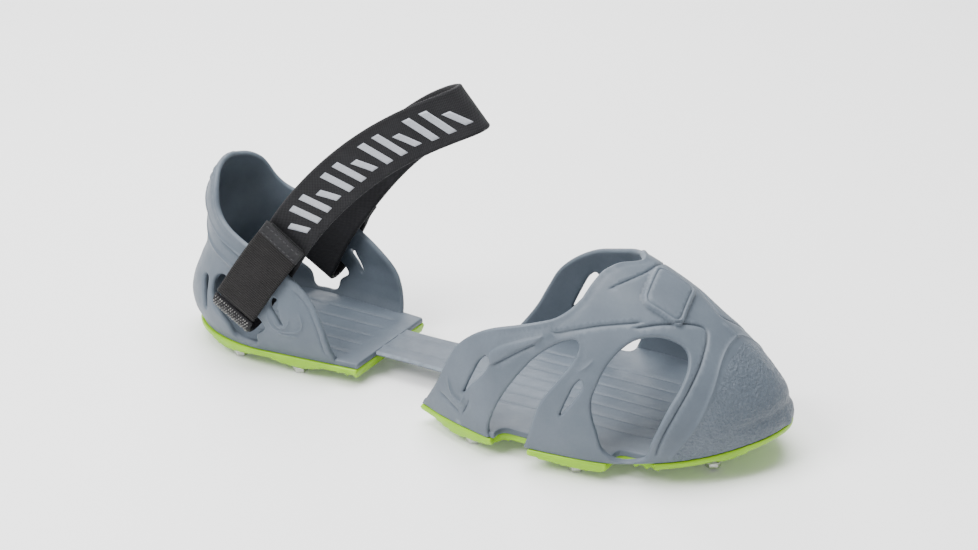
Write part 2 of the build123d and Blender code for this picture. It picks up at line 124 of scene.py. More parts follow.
def curve(points, closed=False, steps=12):
    """Centripetal Catmull-Rom curve through 2-D points."""
    p = np.array(points, float)
    if closed:
        p = np.vstack([p[-1:], p, p[:2]])
    else:
        p = np.vstack([2 * p[0] - p[1], p, 2 * p[-1] - p[-2]])
    out = []
    for i in range(1, len(p) - 2):
        p0, p1, p2, p3 = p[i - 1], p[i], p[i + 1], p[i + 2]
        t1 = max(np.linalg.norm(p1 - p0) ** 0.5, 1e-6)
        t2 = t1 + max(np.linalg.norm(p2 - p1) ** 0.5, 1e-6)
        t3 = t2 + max(np.linalg.norm(p3 - p2) ** 0.5, 1e-6)
        for t in np.linspace(t1, t2, steps, endpoint=False):
            a1 = p0 * (t1 - t) / t1 + p1 * t / t1
            a2 = p1 * (t2 - t) / (t2 - t1) + p2 * (t - t1) / (t2 - t1)
            a3 = p2 * (t3 - t) / (t3 - t2) + p3 * (t - t2) / (t3 - t2)
            b1 = a1 * (t2 - t) / t2 + a2 * t / t2
            b2 = a2 * (t3 - t) / (t3 - t1) + a3 * (t - t1) / (t3 - t1)
            out.append(b1 * (t2 - t) / (t2 - t1) + b2 * (t - t1) / (t2 - t1))
    if not closed:
        out.append(p[-2])
    return np.array(out)


def resample(line, step, closed):
    """Even points along a 2-D line."""
    p = np.asarray(line, float)
    if closed:
        p = np.vstack([p, p[:1]])
    seg = np.hypot(*np.diff(p, axis=0).T)
    s = np.concatenate([[0], np.cumsum(seg)])
    n = max(int(round(s[-1] / step)), 6 if closed else 1)
    t = np.linspace(0, s[-1], n + 1)
    if closed:
        t = t[:-1]
    return np.column_stack([np.interp(t, s, p[:, 0]), np.interp(t, s, p[:, 1])])


def area_of(loop):
    x, y = loop[:, 0], loop[:, 1]
    return 0.5 * np.sum(x * np.roll(y, -1) - np.roll(x, -1) * y)


def left_of(line, closed):
    """Unit normals on the left of a 2-D line."""
    if closed:
        t = np.roll(line, -1, 0) - np.roll(line, 1, 0)
    else:
        t = np.gradient(line, axis=0)
    t /= np.maximum(np.hypot(t[:, 0], t[:, 1]), 1e-9)[:, None]
    return np.column_stack([-t[:, 1], t[:, 0]])


def inside(points, loops):
    """Even-odd test against closed loops."""
    result = np.zeros(len(points), bool)
    px, py = points[:, 0], points[:, 1]
    for loop in loops:
        a, b = loop, np.roll(loop, -1, 0)
        for start in range(0, len(a), 200):
            ax, ay = a[start:start + 200, 0], a[start:start + 200, 1]
            bx, by = b[start:start + 200, 0], b[start:start + 200, 1]
            cross = (ay[None] > py[:, None]) != (by[None] > py[:, None])
            dy = np.where(by == ay, 1e-12, by - ay)
            hit = px[:, None] < (bx - ax)[None] * (py[:, None] - ay[None]) / dy[None] + ax[None]
            result ^= (np.sum(cross & hit, axis=1) % 2).astype(bool)
    return result


def tree_of(places):
    """Search tree of 2-D places."""
    tree = KDTree(len(places))
    for i, (x, y) in enumerate(places):
        tree.insert((x, y, 0.0), i)
    tree.balance()
    return tree


def closed_outline(line, step):
    """Even points round a closed outline put together from parts that share their ends."""
    gap = np.hypot(*(line - np.roll(line, 1, 0)).T)
    return resample(line[gap > 0.02], step, True)


class Lines:
    """Distance from points to a set of polylines."""

    def __init__(self, lines, closed):
        seg_a, seg_b = [], []
        for line in lines:
            ends = np.roll(line, -1, 0) if closed else line[1:]
            seg_a.append(line if closed else line[:-1])
            seg_b.append(ends)
        self.a, self.b = np.vstack(seg_a), np.vstack(seg_b)
        self.tree = tree_of((self.a + self.b) / 2)

    def near(self, points):
        """For each point: its distance, its side (+ is left) and the nearest segment's number."""
        k = np.array([self.tree.find((x, y, 0.0))[1] for x, y in points])
        best = np.full(len(points), 1e9)
        side = np.zeros(len(points))
        which = k.copy()
        for shift in (0, -1, 1):
            j = (k + shift) % len(self.a)
            a, b = self.a[j], self.b[j]
            ab = b - a
            t = np.clip(np.sum((points - a) * ab, 1) / np.maximum(np.sum(ab * ab, 1), 1e-12), 0, 1)
            gap = points - (a + ab * t[:, None])
            d = np.hypot(gap[:, 0], gap[:, 1])
            better = d < best
            best = np.where(better, d, best)
            s = np.sign(ab[:, 0] * gap[:, 1] - ab[:, 1] * gap[:, 0])
            side = np.where(better, s, side)
            which = np.where(better, j, which)
        return best, side, which


def thin(points, taken, gap):
    """Points that keep a gap from those already taken."""
    if len(points) == 0 or len(taken) == 0:
        return points
    tree = tree_of(taken)
    keep = [tree.find((x, y, 0.0))[2] > gap for x, y in points]
    return points[np.array(keep, bool)]


def thin_self(points, gap):
    """Points with near-duplicates removed, in order."""
    cell = {}
    kept = []
    for x, y in points:
        column, row = int(x // gap), int(y // gap)
        around = [q for i in (-1, 0, 1) for j in (-1, 0, 1) for q in cell.get((column + i, row + j), ())]
        if all((qx - x) ** 2 + (qy - y) ** 2 >= gap * gap for qx, qy in around):
            cell.setdefault((column, row), []).append((x, y))
            kept.append((x, y))
    return np.array(kept).reshape(-1, 2)


def hex_grid(low, high, step):
    """Staggered grid of points over a box."""
    rows = np.arange(low[1], high[1], step * 0.866)
    out = []
    for i, y in enumerate(rows):
        xs = np.arange(low[0] + (i % 2) * step / 2, high[0], step)
        out.append(np.column_stack([xs, np.full(len(xs), y)]))
    return np.vstack(out)


# ---- the slab builder: a sheet with holes, rounded rims and two shaped faces ----
RING_SHARES = (0.1, 0.34, 0.66, 1.0)
OUTLINE_STEP = 0.85


def slab(loops, rim, features, step, lift, fine=None):
    """Closed mesh of a sheet. loops are flat outlines, the first the outer one; rim(points) is the radius of
    the rounded rim at each outline point; features are (line, offsets) that get their own rows of points;
    lift(points, distance, rim radius) gives the upper and the lower 3-D points."""
    loops = [loop if (area_of(loop) > 0) == (i == 0) else loop[::-1] for i, loop in enumerate(loops)]
    border = Lines(loops, True)
    outline = np.vstack(loops)
    rims = np.concatenate([rim(loop) for loop in loops])
    rings = []
    for loop in loops:
        left, radius = left_of(loop, True), rim(loop)
        for share in RING_SHARES:
            ring = loop + left * (radius * share)[:, None]
            d, side, _ = border.near(ring)
            rings.append(ring[(d > 0.75 * radius * share) & (side > 0)])
    rings = thin_self(np.vstack(rings), 0.055)
    rows = []
    for line, offsets in features:
        left = left_of(line, False)
        for offset in offsets:
            rows.append(line + left * offset)
    rows = np.vstack(rows)
    d, side, which = border.near(rows)
    rows = thin_self(rows[(side > 0) & (d > rims[which] + 0.15)], 0.2)
    low, high = outline.min(0), outline.max(0)
    grid = hex_grid(low, high, step)
    if fine is not None:
        extra = hex_grid(low, high, fine[0])
        grid = np.vstack([extra[fine[1](extra)], grid[~fine[1](grid)]])
    grid = grid[inside(grid, loops)]
    d, side, which = border.near(grid)
    grid = grid[d > rims[which] + step * 0.45]
    grid = thin(grid, rows, step * 0.5)
    grid = thin_self(grid, (fine[0] if fine else step) * 0.6)
    flat = np.vstack([outline, rings, rows, grid])
    edges, base = [], 0
    for loop in loops:
        n = len(loop)
        edges += [(base + i, base + (i + 1) % n) for i in range(n)]
        base += n
    result = delaunay_2d_cdt([Vector((x, y)) for x, y in flat], edges, [], 0, 1e-6)
    points = np.array([(v.x, v.y) for v in result[0]])
    on_rim = np.array([any(o < len(outline) for o in origin) for origin in result[3]])
    tris = np.array([f for f in result[2] if len(f) == 3])
    centre = points[tris].mean(1)
    tris = tris[inside(centre, loops)]
    tris = tris[~on_rim[tris].all(1)]
    distance, _, which = border.near(points)
    distance = np.where(on_rim, 0.0, distance)
    upper, lower = lift(points, distance, rims[which])
    n = len(points)
    verts = np.vstack([upper, lower])
    verts[:n][on_rim] = (upper[on_rim] + lower[on_rim]) / 2
    second = np.where(on_rim, np.arange(n), np.arange(n) + n)
    a, b, c = tris[:, 0], tris[:, 1], tris[:, 2]
    turn = (points[b, 0] - points[a, 0]) * (points[c, 1] - points[a, 1])
    turn -= (points[b, 1] - points[a, 1]) * (points[c, 0] - points[a, 0])
    tris = np.where((turn > 0)[:, None], tris, tris[:, ::-1])
    faces = np.vstack([tris, second[tris][:, ::-1]])
    used = np.zeros(2 * n, bool)
    used[faces.ravel()] = True
    index = np.cumsum(used) - 1
    return verts[used], index[faces]


def dome(distance, radius):
    """0 at the rim to 1 at the rim's radius."""
    s = np.clip(distance / np.maximum(radius, 1e-6), 0, 1)
    return np.sqrt(np.maximum(1 - (1 - s) ** 2, 0))


def piece(name, verts, faces, body, mats, nodes=(), choose=None):
    """A mesh object from points in millimetres; choose(face centres) gives each face's material number."""
    mesh = bpy.data.meshes.new(name)
    verts = np.asarray(verts, float) * MM
    faces = [tuple(int(i) for i in f) for f in faces]
    mesh.from_pydata(verts.tolist(), [], faces)
    mesh.validate()
    mesh.update()
    obj = bpy.data.objects.new(name, mesh)
    bpy.context.scene.collection.objects.link(obj)
    for mat in mats:
        mesh.materials.append(mat)
    mesh.polygons.foreach_set("use_smooth", [True] * len(mesh.polygons))
    if choose is not None:
        centres = np.zeros(len(mesh.polygons) * 3)
        mesh.polygons.foreach_get("center", centres)
        mesh.polygons.foreach_set("material_index", choose(centres.reshape(-1, 3) / MM).astype(int))
    mesh.update()
    if body:
        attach(obj, body)
    if nodes:
        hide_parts(*nodes)
    return obj


# ---- surfaces ----
def inner_slope(x):
    """Share of the inner side's steeper slope that applies at X."""
    return smooth((x - INNER_START) / INNER_RUN)


def section_powers(x, inner):
    """Exponents of the section's rise and spread at X."""
    share = np.where(inner, inner_slope(x), 0.0)
    return tuple(power + change * share for power, change in zip(OUTER_POWERS, INNER_CHANGE))


def flat_shares(points, rows, middle):
    """Girth of each row of a grid of points, and the shares of the run along the row nearest to middle."""
    steps = np.linalg.norm(np.diff(points, axis=1), axis=2)
    ref = int(np.argmin(abs(rows - middle)))
    return steps.sum(1), np.concatenate([[0], np.cumsum(steps[ref])]) / steps[ref].sum() - 0.5


def unit_cross(a, b):
    n = np.cross(a, b)
    return n / np.maximum(np.linalg.norm(n, axis=1), 1e-9)[:, None]


class Shell:
    """The forefoot harness's outer surface, with a flat layout that keeps lengths nearly true."""

    def __init__(self):
        self.x = np.linspace(SHELL_START, NOSE_X + NOSE_CAP, 320)
        self.angle = np.linspace(0, 180, 241)
        grid = np.array([self.point(np.full(len(self.angle), x), self.angle) for x in self.x])
        girth, self.share = flat_shares(grid, self.x, 60)
        self.girth = np.maximum(girth, 0.02)
        crown = grid[:, len(self.angle) // 2]
        along = np.linalg.norm(np.diff(crown, axis=0), axis=1)
        self.u = np.concatenate([[0], np.cumsum(along)])

    def point(self, x, angle):
        """3-D points at X; angle runs over the section from 0 at the outer side's foot to 180."""
        cap = np.clip((x - NOSE_X) / NOSE_CAP, 0, 1)
        xs = np.minimum(x, NOSE_X)
        half = through(HALF_WIDTHS, xs)
        low = spring(xs) - PLATE
        high = through(CRESTS, xs)
        a = np.radians(np.clip(angle, 0, 180))
        rise, spread = section_powers(xs, angle > 90)
        z = low + (high - low) * np.maximum(np.sin(a), 0) ** rise
        across = np.abs(np.cos(a)) ** spread * half
        tuck = np.clip((low + TUCK_HEIGHT - z) / TUCK_HEIGHT, 0, 1)
        across *= 1 - base_tuck(xs) * tuck ** 2
        middle = through(CENTRES, xs)
        y = middle + np.where(angle < 90, -1, 1) * across
        shrink = np.cos(cap * pi / 2)
        return np.column_stack([xs + NOSE_BULGE * np.sin(cap * pi / 2), middle + (y - middle) * shrink,
                                low + (z - low) * shrink])

    def flat(self, x, angle):
        u = np.interp(x, self.x, self.u)
        v = np.interp(angle, self.angle, self.share) * np.interp(x, self.x, self.girth)
        return np.column_stack([u, v])

    def params(self, flat):
        x = np.interp(flat[:, 0], self.u, self.x)
        v = np.clip(flat[:, 1] / np.interp(x, self.x, self.girth), -0.5, 0.5)
        return x, np.interp(v, self.share, self.angle)

    def side(self, points, medial=False):
        """Flat places of (x, z) points seen from the side."""
        p = np.asarray(points, float)
        low, high = spring(p[:, 0]) - PLATE, through(CRESTS, p[:, 0])
        rise, _ = section_powers(p[:, 0], medial)
        s = np.clip((p[:, 1] - low) / (high - low), 0, 1) ** (1 / rise)
        angle = np.degrees(np.arcsin(s))
        return self.flat(p[:, 0], 180 - angle if medial else angle)

    def above(self, points):
        """Flat places of (x, y) points on the crown, seen from above."""
        p = np.asarray(points, float)
        half, centre = through(HALF_WIDTHS, p[:, 0]), through(CENTRES, p[:, 0])
        _, spread = section_powers(p[:, 0], p[:, 1] > centre)
        share = np.clip(np.abs(p[:, 1] - centre) / half, 0, 1) ** (1 / spread)
        angle = np.degrees(np.arccos(share))
        return self.flat(p[:, 0], np.where(p[:, 1] < centre, angle, 180 - angle))

    def frame(self, flat):
        """Outer point and outward normal at flat places."""
        x, angle = self.params(flat)
        x0, x1 = np.maximum(x - 0.15, SHELL_START), np.minimum(x + 0.15, NOSE_X + NOSE_CAP - 0.05)
        x0 = np.minimum(x0, x1 - 0.05)
        a0, a1 = np.clip(angle - 0.4, 0, 179), np.clip(angle + 0.4, 1, 180)
        along = self.point(x1, angle) - self.point(x0, angle)
        around = self.point(x, a1) - self.point(x, a0)
        return self.point(x, angle), unit_cross(along, around)


class Cup:
    """The heel cup's outer surface in the same manner: turn runs round the back, z up."""

    def __init__(self):
        self.turn = np.linspace(-1.62, 1.62, 325)
        self.z = np.linspace(HEEL_LOW, HEEL_HIGH, 120)
        grid = np.array([self.point(self.turn, np.full(len(self.turn), z)) for z in self.z])
        self.girth, self.share = flat_shares(grid, self.z, 25)

    def point(self, turn, z, inset=0.0):
        """3-D points; turn is -1 to 1 round the back and goes on along the two arms."""
        length = through(HEEL_LENGTHS, z) - inset
        half = through(HEEL_HALF_WIDTHS, z) - inset
        bend = np.radians(90) * np.clip(turn, -1, 1)
        along = np.maximum(np.abs(turn) - 1, 0) * HEEL_ARM_RUN
        side = np.where(turn < 0, -1, 1)
        x = HEEL_CENTRE[0] - length * np.cos(bend) + along
        y = HEEL_CENTRE[1] + half * np.sin(bend) - side * along * HEEL_ARM_TAPER
        return np.column_stack([x, y, z])

    def flat(self, turn, z):
        g = np.interp(z, self.z, self.girth)
        return np.column_stack([-np.interp(turn, self.turn, self.share) * g, z])

    def params(self, flat):
        z = np.clip(flat[:, 1], HEEL_LOW, HEEL_HIGH)
        share = -flat[:, 0] / np.interp(z, self.z, self.girth)
        return np.interp(share, self.share, self.turn), z

    def side(self, points, medial=False):
        """Flat places of (x, z) points seen from the side."""
        p = np.asarray(points, float)
        z = np.clip(p[:, 1], HEEL_LOW, HEEL_HIGH)
        behind = np.clip((HEEL_CENTRE[0] - p[:, 0]) / through(HEEL_LENGTHS, z), 0, 1)
        turn = np.where(p[:, 0] > HEEL_CENTRE[0], 1 + (p[:, 0] - HEEL_CENTRE[0]) / HEEL_ARM_RUN,
                        np.degrees(np.arccos(behind)) / 90)
        return self.flat(turn if medial else -turn, z)

    def frame(self, flat):
        turn, z = self.params(flat)
        t0, t1 = turn - 0.004, turn + 0.004
        z0 = np.clip(z - 0.2, HEEL_LOW, HEEL_HIGH - 0.2)
        z1 = np.clip(z + 0.2, HEEL_LOW + 0.2, HEEL_HIGH)
        around = self.point(t1, z) - self.point(t0, z)
        up = self.point(turn, z1) - self.point(turn, z0)
        return self.point(turn, z), unit_cross(up, around)


shell, cup = Shell(), Cup()


class Mark:
    """A groove or ridge along lines, or a raised patch inside a closed line, on a flat layout."""

    def __init__(self, lines, height, width, closed=False, filled=False, taper=4.0):
        self.lines = [resample(line, 0.5, closed) for line in lines]
        self.height, self.width, self.closed, self.filled = height, width, closed, filled
        self.taper = taper
        self.tree = Lines(self.lines, closed)
        ends = []
        for line in self.lines:
            n = len(line) if closed else len(line) - 1
            s = np.arange(n) * 0.5
            ends.append(np.ones(n) if closed else smooth(np.minimum(s, s[::-1] if n else s) / taper + 0.15))
        self.fade = np.concatenate(ends)

    def rows(self):
        """Lines and offsets that need their own mesh points."""
        w = self.width
        offsets = (-w, -0.35 * w, 0.35 * w, w) if self.filled else (-w, -0.4 * w, 0.0, 0.4 * w, w)
        out = []
        for line in self.lines:
            line = resample(line, 0.75, self.closed)
            out.append((np.vstack([line, line[:1]]) if self.closed else line, offsets))
        return out

    def relief(self, points):
        d, _, which = self.tree.near(points)
        if self.filled:
            signed = np.where(inside(points, self.lines), d, -d)
            return self.height * smooth((signed + self.width) / (2 * self.width))
        return self.height * np.exp(-(d / (0.62 * self.width)) ** 2) * self.fade[which]


# ---- forefoot harness shell ----
REAR_EDGE = [(-13.6, -2.5), (-12.7, -1.3), (-4, 11.5), (1.5, 22.4), (6.2, 30.6), (13.5, 37.4), (22.3, 42.5),
             (33, 45.9), (40.3, 48), (47.5, 50.6), (52.2, 54.2), (54.9, 57.8)]
COLLAR = [(57, -21.5), (60, -13), (63.5, -7), (64.8, -3), (63.5, 1), (60, 7), (57, 15.5)]
WINDOW_ONE = [(24.4, -0.5), (28, 12.5), (39.6, 31.7), (46, 38.5), (53.2, 43), (58, 43.8), (59.2, 41.5),
              (57.8, 36), (54.1, 30), (46.6, 18.3), (42.1, 3.2), (38, -5), (29, -6)]
WINDOW_TWO = [(73, 3), (70.4, 10.5), (67.8, 18), (67.2, 23.5), (68.3, 28.5), (70.6, 36), (74.3, 42.3),
              (78.5, 45.8), (84, 46.5), (90.5, 44.7), (95.8, 41), (98, 36), (97.6, 29.5), (95.4, 23),
              (93, 15.5), (90.5, 8), (88, 0.8), (80, -1.3)]
SLOT_ONE = [(23.6, 29.6), (22.2, 31.6), (19.2, 29.4), (15.5, 22.5), (12.2, 15.0), (11.6, 13.4), (12.9, 14.6),
            (17.4, 20.0), (22.0, 25.6)]
SLOT_TWO = [(63.2, 28.8), (62.2, 30.2), (60.2, 28.4), (57.6, 22.2), (55.6, 16.4), (55.3, 15.2), (56.2, 16.0),
            (59.4, 20.6), (62.6, 26.2)]


def base_line(x_from, x_to, medial):
    xs = np.linspace(x_from, x_to, max(int(abs(x_to - x_from) / 0.8), 2))
    return shell.flat(xs, np.full(len(xs), 180.0 if medial else 0.0))


def shell_outline():
    """The harness wall's outer outline in the flat layout, with the first window as a bay in its base."""
    window = curve(WINDOW_ONE, True)
    low = spring(window[:, 0]) - PLATE
    above = window[:, 1] > low
    first = [i for i in range(len(window)) if above[i] and not above[i - 1]][0]
    window = np.roll(window, -first, 0)
    bay = window[(spring(window[:, 0]) - PLATE) < window[:, 1]]
    left, right = bay[0, 0], bay[-1, 0]
    if left > right:
        bay, left, right = bay[::-1], right, left
    edge = curve(REAR_EDGE)
    parts = [base_line(-13.6, left, False), shell.side(bay), base_line(right, NOSE_X + NOSE_CAP - 0.1, False),
             base_line(NOSE_X + NOSE_CAP - 0.1, right, True), shell.side(bay[::-1], True),
             base_line(left, -13.6, True), shell.side(edge, True), shell.above(curve(COLLAR)[::-1]),
             shell.side(edge[::-1])]
    return closed_outline(np.vstack(parts), OUTLINE_STEP)


LEAF = [(24.2, 33.5), (27.5, 36.5), (33, 39.4), (40, 42.2), (44.6, 43.6), (42.6, 41.2), (34.5, 36.6),
        (27, 30.6), (24.8, 29.2)]
GRAIN_EDGE = [(98.6, 50.5), (102.0, 46.2), (104.4, 41.0), (106.4, 34.5), (107.2, 28.6), (106.6, 22.8),
              (105.2, 17.2), (102.8, 11.8), (99.6, 6.6), (97.2, 2.6), (96.0, 0.2)]
# (lines in side view, height, width, Mark's options) on each side of the forefoot
RAISED = {"closed": True, "filled": True}
SHELL_MARKS = [
    # raised leaf above the first slot, with a groove under it
    ([LEAF], 0.7, 0.45, RAISED),
    ([[(25.2, 28.6), (29.5, 31.6), (36, 36.2), (43.4, 41.0)]], -0.7, 0.55, {}),
    # nested chevrons under the slot
    ([[(-1.8, 8.8), (3.4, 6.8), (10.6, 3.4)], [(11.2, 3.2), (13.4, 7.4), (15.6, 12.2)]], -0.8, 0.5, {}),
    ([[(3.2, 17.4), (5.6, 11.4), (8.2, 9.0), (10.8, 8.6), (12.6, 12.4)]], 0.7, 0.6, {}),
    ([[(60.6, 33.2), (63.4, 35.2), (66.0, 38.6)]], 0.32, 0.55, {}),
    # groove over the windows
    ([[(46.5, 46.2), (48.6, 45.5), (56, 47.4), (64, 49.4), (71.5, 50.4), (78.8, 50.8)]], -0.7, 0.55, {}),
    # line beside the second window's front edge
    ([[(76, 49.2), (84, 49.6), (92.6, 47.6), (98.6, 43.4), (101, 37), (100.4, 29.5), (98, 21.5),
       (95, 13.2), (92.8, 6.4), (91.6, 2.2)]], -0.85, 0.6, {}),
    # edge of the pebbled toe
    ([GRAIN_EDGE], 0.42, 0.8, {}),
]
VAMP_ARC = [(62.5, -27.5), (66.8, -19), (69.4, -11), (70.2, -3), (69.4, 5), (66.8, 13), (62.5, 21.5)]
PLAQUE_CENTRE, PLAQUE_HALF, PLAQUE_TURN = (80.5, -11.5), (8.0, 11.5), 0.2


def rounded_box(centre, half, radius, turn):
    """Closed outline of a rounded rectangle."""
    out = []
    for k, (sx, sy) in enumerate(((1, 1), (-1, 1), (-1, -1), (1, -1))):
        for t in np.linspace(0, 90, 7):
            a = radians(90 * k + t)
            out.append((sx * (half[0] - radius) + radius * cos(a), sy * (half[1] - radius) + radius * sin(a)))
    out = np.array(out)
    c, s = cos(turn), sin(turn)
    return resample(out @ np.array([[c, s], [-s, c]]) + np.array(centre), 0.6, True)


def side_marks(surface, entries):
    """The same marks on both sides of a surface."""
    return [Mark([surface.side(curve(line, options.get("closed", False)), medial) for line in lines],
                 height, width, **options)
            for medial in (False, True) for lines, height, width, options in entries]


def shell_relief_marks():
    marks = side_marks(shell, SHELL_MARKS)
    marks.append(Mark([shell.above(curve(VAMP_ARC))], -0.65, 0.5))
    for inset, radius, height, width, filled in ((0.0, 3.2, 1.5, 0.26, True), (1.4, 2.4, -0.45, 0.35, False)):
        half = [size - inset for size in PLAQUE_HALF]
        outline = shell.above(rounded_box(PLAQUE_CENTRE, half, radius, PLAQUE_TURN))
        marks.append(Mark([outline], height, width, True, filled))
    return marks


def pebble(points, scale, seed):
    """Smooth random relief, about -1 to 1, from summed plane waves with bent phases."""
    r = np.random.default_rng(seed)
    total = np.zeros(len(points))
    warp = np.zeros(len(points))
    for _ in range(5):
        k = r.normal(size=3) / (scale * 2.2)
        warp += np.sin(points @ k * 2 * pi + r.uniform(0, 2 * pi))
    for _ in range(14):
        k = r.normal(size=3)
        k *= 1 / (scale * np.linalg.norm(k))
        total += np.sin(points @ k * 2 * pi + r.uniform(0, 2 * pi) + 0.9 * warp)
    return np.clip(total / 3.6, -1, 1)


def grain_mask(points):
    """1 over the pebbled toe, 0 behind its edge, for 3-D points on the shell."""
    edge = GRAIN_EDGE[::-1]
    heights = [0.0] + [z for _, z in edge[1:]]
    edge_x = np.interp(points[:, 2] - spring(points[:, 0]) * 0.6, heights, [x for x, _ in edge])
    return smooth((points[:, 0] - edge_x - 0.6) / 1.8)


def side_holes(surface, holes):
    """Hole outlines on both sides of a surface, each with its own spacing of points."""
    return [resample(surface.side(curve(hole, True), medial), step, True)
            for hole, step in holes for medial in (False, True)]


def collar_weight(flat):
    """1 beside the parts of the outline that carry a raised bead."""
    x, angle = shell.params(flat)
    z = shell.point(x, angle)[:, 2]
    return smooth((z - 22) / 10) * smooth((76 - x) / 6)


def build_forefoot_shell(mats):
    outline = shell_outline()
    holes = side_holes(shell, ((WINDOW_TWO, 0.8), (SLOT_ONE, 0.45), (SLOT_TWO, 0.45)))
    marks = shell_relief_marks()
    features = [row for mark in marks for row in mark.rows()]
    bead = Lines([outline], True)

    def rim(points):
        x, angle = shell.params(points)
        height = shell.point(x, angle)[:, 2] - (spring(x) - PLATE)
        return 0.3 + 0.75 * smooth((height - 0.2) / 2.0)

    def lift(points, distance, radius):
        p, n = shell.frame(points)
        h = dome(distance, radius)
        relief = sum(mark.relief(points) for mark in marks)
        d, _, _ = bead.near(points)
        relief = relief - 0.42 * np.exp(-((d - 2.3) / 0.5) ** 2) * collar_weight(points)
        grain = grain_mask(p)
        relief = relief + 0.10 * grain * pebble(p, 1.9, 3) + 0.05 * grain * pebble(p, 1.1, 5)
        # shallow waist round the nose, under the bumper
        waist = np.exp(-((p[:, 2] - spring(p[:, 0]) - 5.5) / 2.6) ** 2) * smooth((p[:, 0] - 112) / 10)
        relief = relief - 0.9 * waist
        inner = p - n * WALL
        inner[:, 2] = np.maximum(inner[:, 2], spring(p[:, 0]) - PLATE)
        middle = (p + inner) / 2
        upper = middle + (p - middle) * h[:, None] + n * (relief * h)[:, None]
        lower = middle + (inner - middle) * h[:, None]
        return upper, lower

    def toe(points):
        x, angle = shell.params(points)
        return grain_mask(shell.point(x, angle)) > 0.3

    verts, faces = slab([outline] + holes, rim, features, 1.25, lift, (0.8, toe))
    piece("forefoot_shell", verts, faces, "forefoot", mats, ("forefoot_harness",),
          choose=lambda centres: grain_mask(centres) > 0.5)


# ---- heel harness shell ----
HEEL_EDGE = [(-62, -2.5), (-62.6, 1.5), (-63.7, 6.4), (-65.9, 14.6), (-69.9, 21.8), (-75.4, 27.6),
             (-81.6, 32.3), (-90, 37.5), (-96.5, 40.3), (-103.3, 43), (-110, 45.4), (-116.8, 48.2),
             (-121, 51), (-123.8, 54.6), (-125.8, 59.6), (-127.6, 64), (-130.2, 67.4), (-132.8, 69.2)]
HEEL_TOP = [(-0.1, 69.9), (0.0, 70.2), (0.1, 69.9)]
HEEL_WINDOW = [(-110.5, 0.9), (-113.5, 6.5), (-120.5, 12), (-123.2, 18), (-122.3, 24.5), (-116.5, 27.2),
               (-106, 19), (-96, 13.2), (-93.6, 9.6), (-97.8, 5.5), (-99, 0.9), (-105, 0.4)]
HEEL_SLOT_FRONT = [(-90.6, 23.4), (-88.6, 23.2), (-88.0, 21.0), (-86.2, 16.6), (-85.0, 12.6), (-85.6, 12.6),
                   (-88.2, 16.6), (-90.8, 20.6)]
HEEL_SLOT_REAR = [(-129.4, 23.4), (-127.6, 23.0), (-127.0, 20.8), (-126.8, 15.4), (-127.2, 9.0),
                  (-127.9, 9.0), (-129.6, 15.6), (-130.8, 20.4), (-130.6, 22.6)]
LONG_TAPER = {"taper": 6}
HEEL_MARKS = [
    # ridges and a groove that sweep forward from the pull tab
    ([[(-139, 61.5), (-135.6, 53.5), (-130.4, 46.8), (-123, 42.6), (-112, 39.4), (-101, 35.6), (-92, 31.2)]],
     0.55, 0.8, LONG_TAPER),
    ([[(-142, 52), (-138.4, 45), (-133, 39.4), (-126, 36.0), (-116, 33.4), (-107, 30.4)]],
     0.5, 0.8, LONG_TAPER),
    ([[(-138.5, 57.5), (-134, 50.2), (-128, 44.8), (-120, 41.2), (-110, 38.0), (-99, 33.8)]],
     -0.45, 0.6, LONG_TAPER),
    # nested U outlines on the front strut
    ([[(-88.8, 9.2), (-84, 8.6), (-76.2, 8.8)]], 0.55, 0.5, {}),
    ([[(-92.4, 18.6), (-90.6, 12.8), (-87.6, 10.2), (-82.4, 9.8), (-76.8, 11.4), (-75.2, 15.0),
       (-77.4, 20.2)]], 0.42, 0.6, {}),
    ([[(-88.9, 14.4), (-87.2, 11.9), (-84.4, 11.5), (-82.0, 13.6), (-81.4, 17.2)]], 0.4, 0.55, {}),
    # line beside the strut's front edge
    ([[(-65.8, 1.6), (-67.0, 8.4), (-69.4, 16.0), (-74.2, 23.0), (-81, 28.4)]], -0.4, 0.55, {}),
]


def build_heel_shell(mats):
    edge = cup.side(curve(HEEL_EDGE))
    base = cup.flat(np.linspace(1.38, -1.38, 260), np.full(260, HEEL_LOW))
    top = cup.flat(*np.array(HEEL_TOP).T)
    far_edge = cup.side(curve(HEEL_EDGE), True)[::-1]
    outline = closed_outline(np.vstack([base, edge, top, far_edge]), OUTLINE_STEP)
    holes = side_holes(cup, ((HEEL_WINDOW, 0.8), (HEEL_SLOT_FRONT, 0.4), (HEEL_SLOT_REAR, 0.45)))
    marks = side_marks(cup, HEEL_MARKS)
    for height in (62.0, 65.0):
        marks.append(Mark([cup.flat(np.linspace(-0.34, 0.34, 40), np.full(40, height))], 0.45, 0.6, taper=3))
    features = [row for mark in marks for row in mark.rows()]
    bead = Lines([outline], True)

    def rim(points):
        return 0.3 + 0.75 * smooth((points[:, 1] + 2.2) / 2.0)

    def lift(points, distance, radius):
        p, n = cup.frame(points)
        h = dome(distance, radius)
        relief = sum(mark.relief(points) for mark in marks)
        d, _, _ = bead.near(points)
        relief = relief - 0.42 * np.exp(-((d - 2.4) / 0.5) ** 2) * smooth((p[:, 2] - 24) / 8)
        # low step round the base, over the tread
        relief = relief + 0.25 * smooth((2.2 - p[:, 2]) / 1.6)
        middle = p - n * WALL / 2
        upper = middle + n * (WALL / 2 * h + relief * h)[:, None]
        lower = middle - n * (WALL / 2 * h)[:, None]
        return upper, lower

    verts, faces = slab([outline] + holes, rim, features, 1.2, lift)
    piece("heel_shell", verts, faces, "heel", mats, ("heel_harness",))


# ---- plates seen from above: footbeds and treads ----
HEEL_PLATE_REACH = 0.48


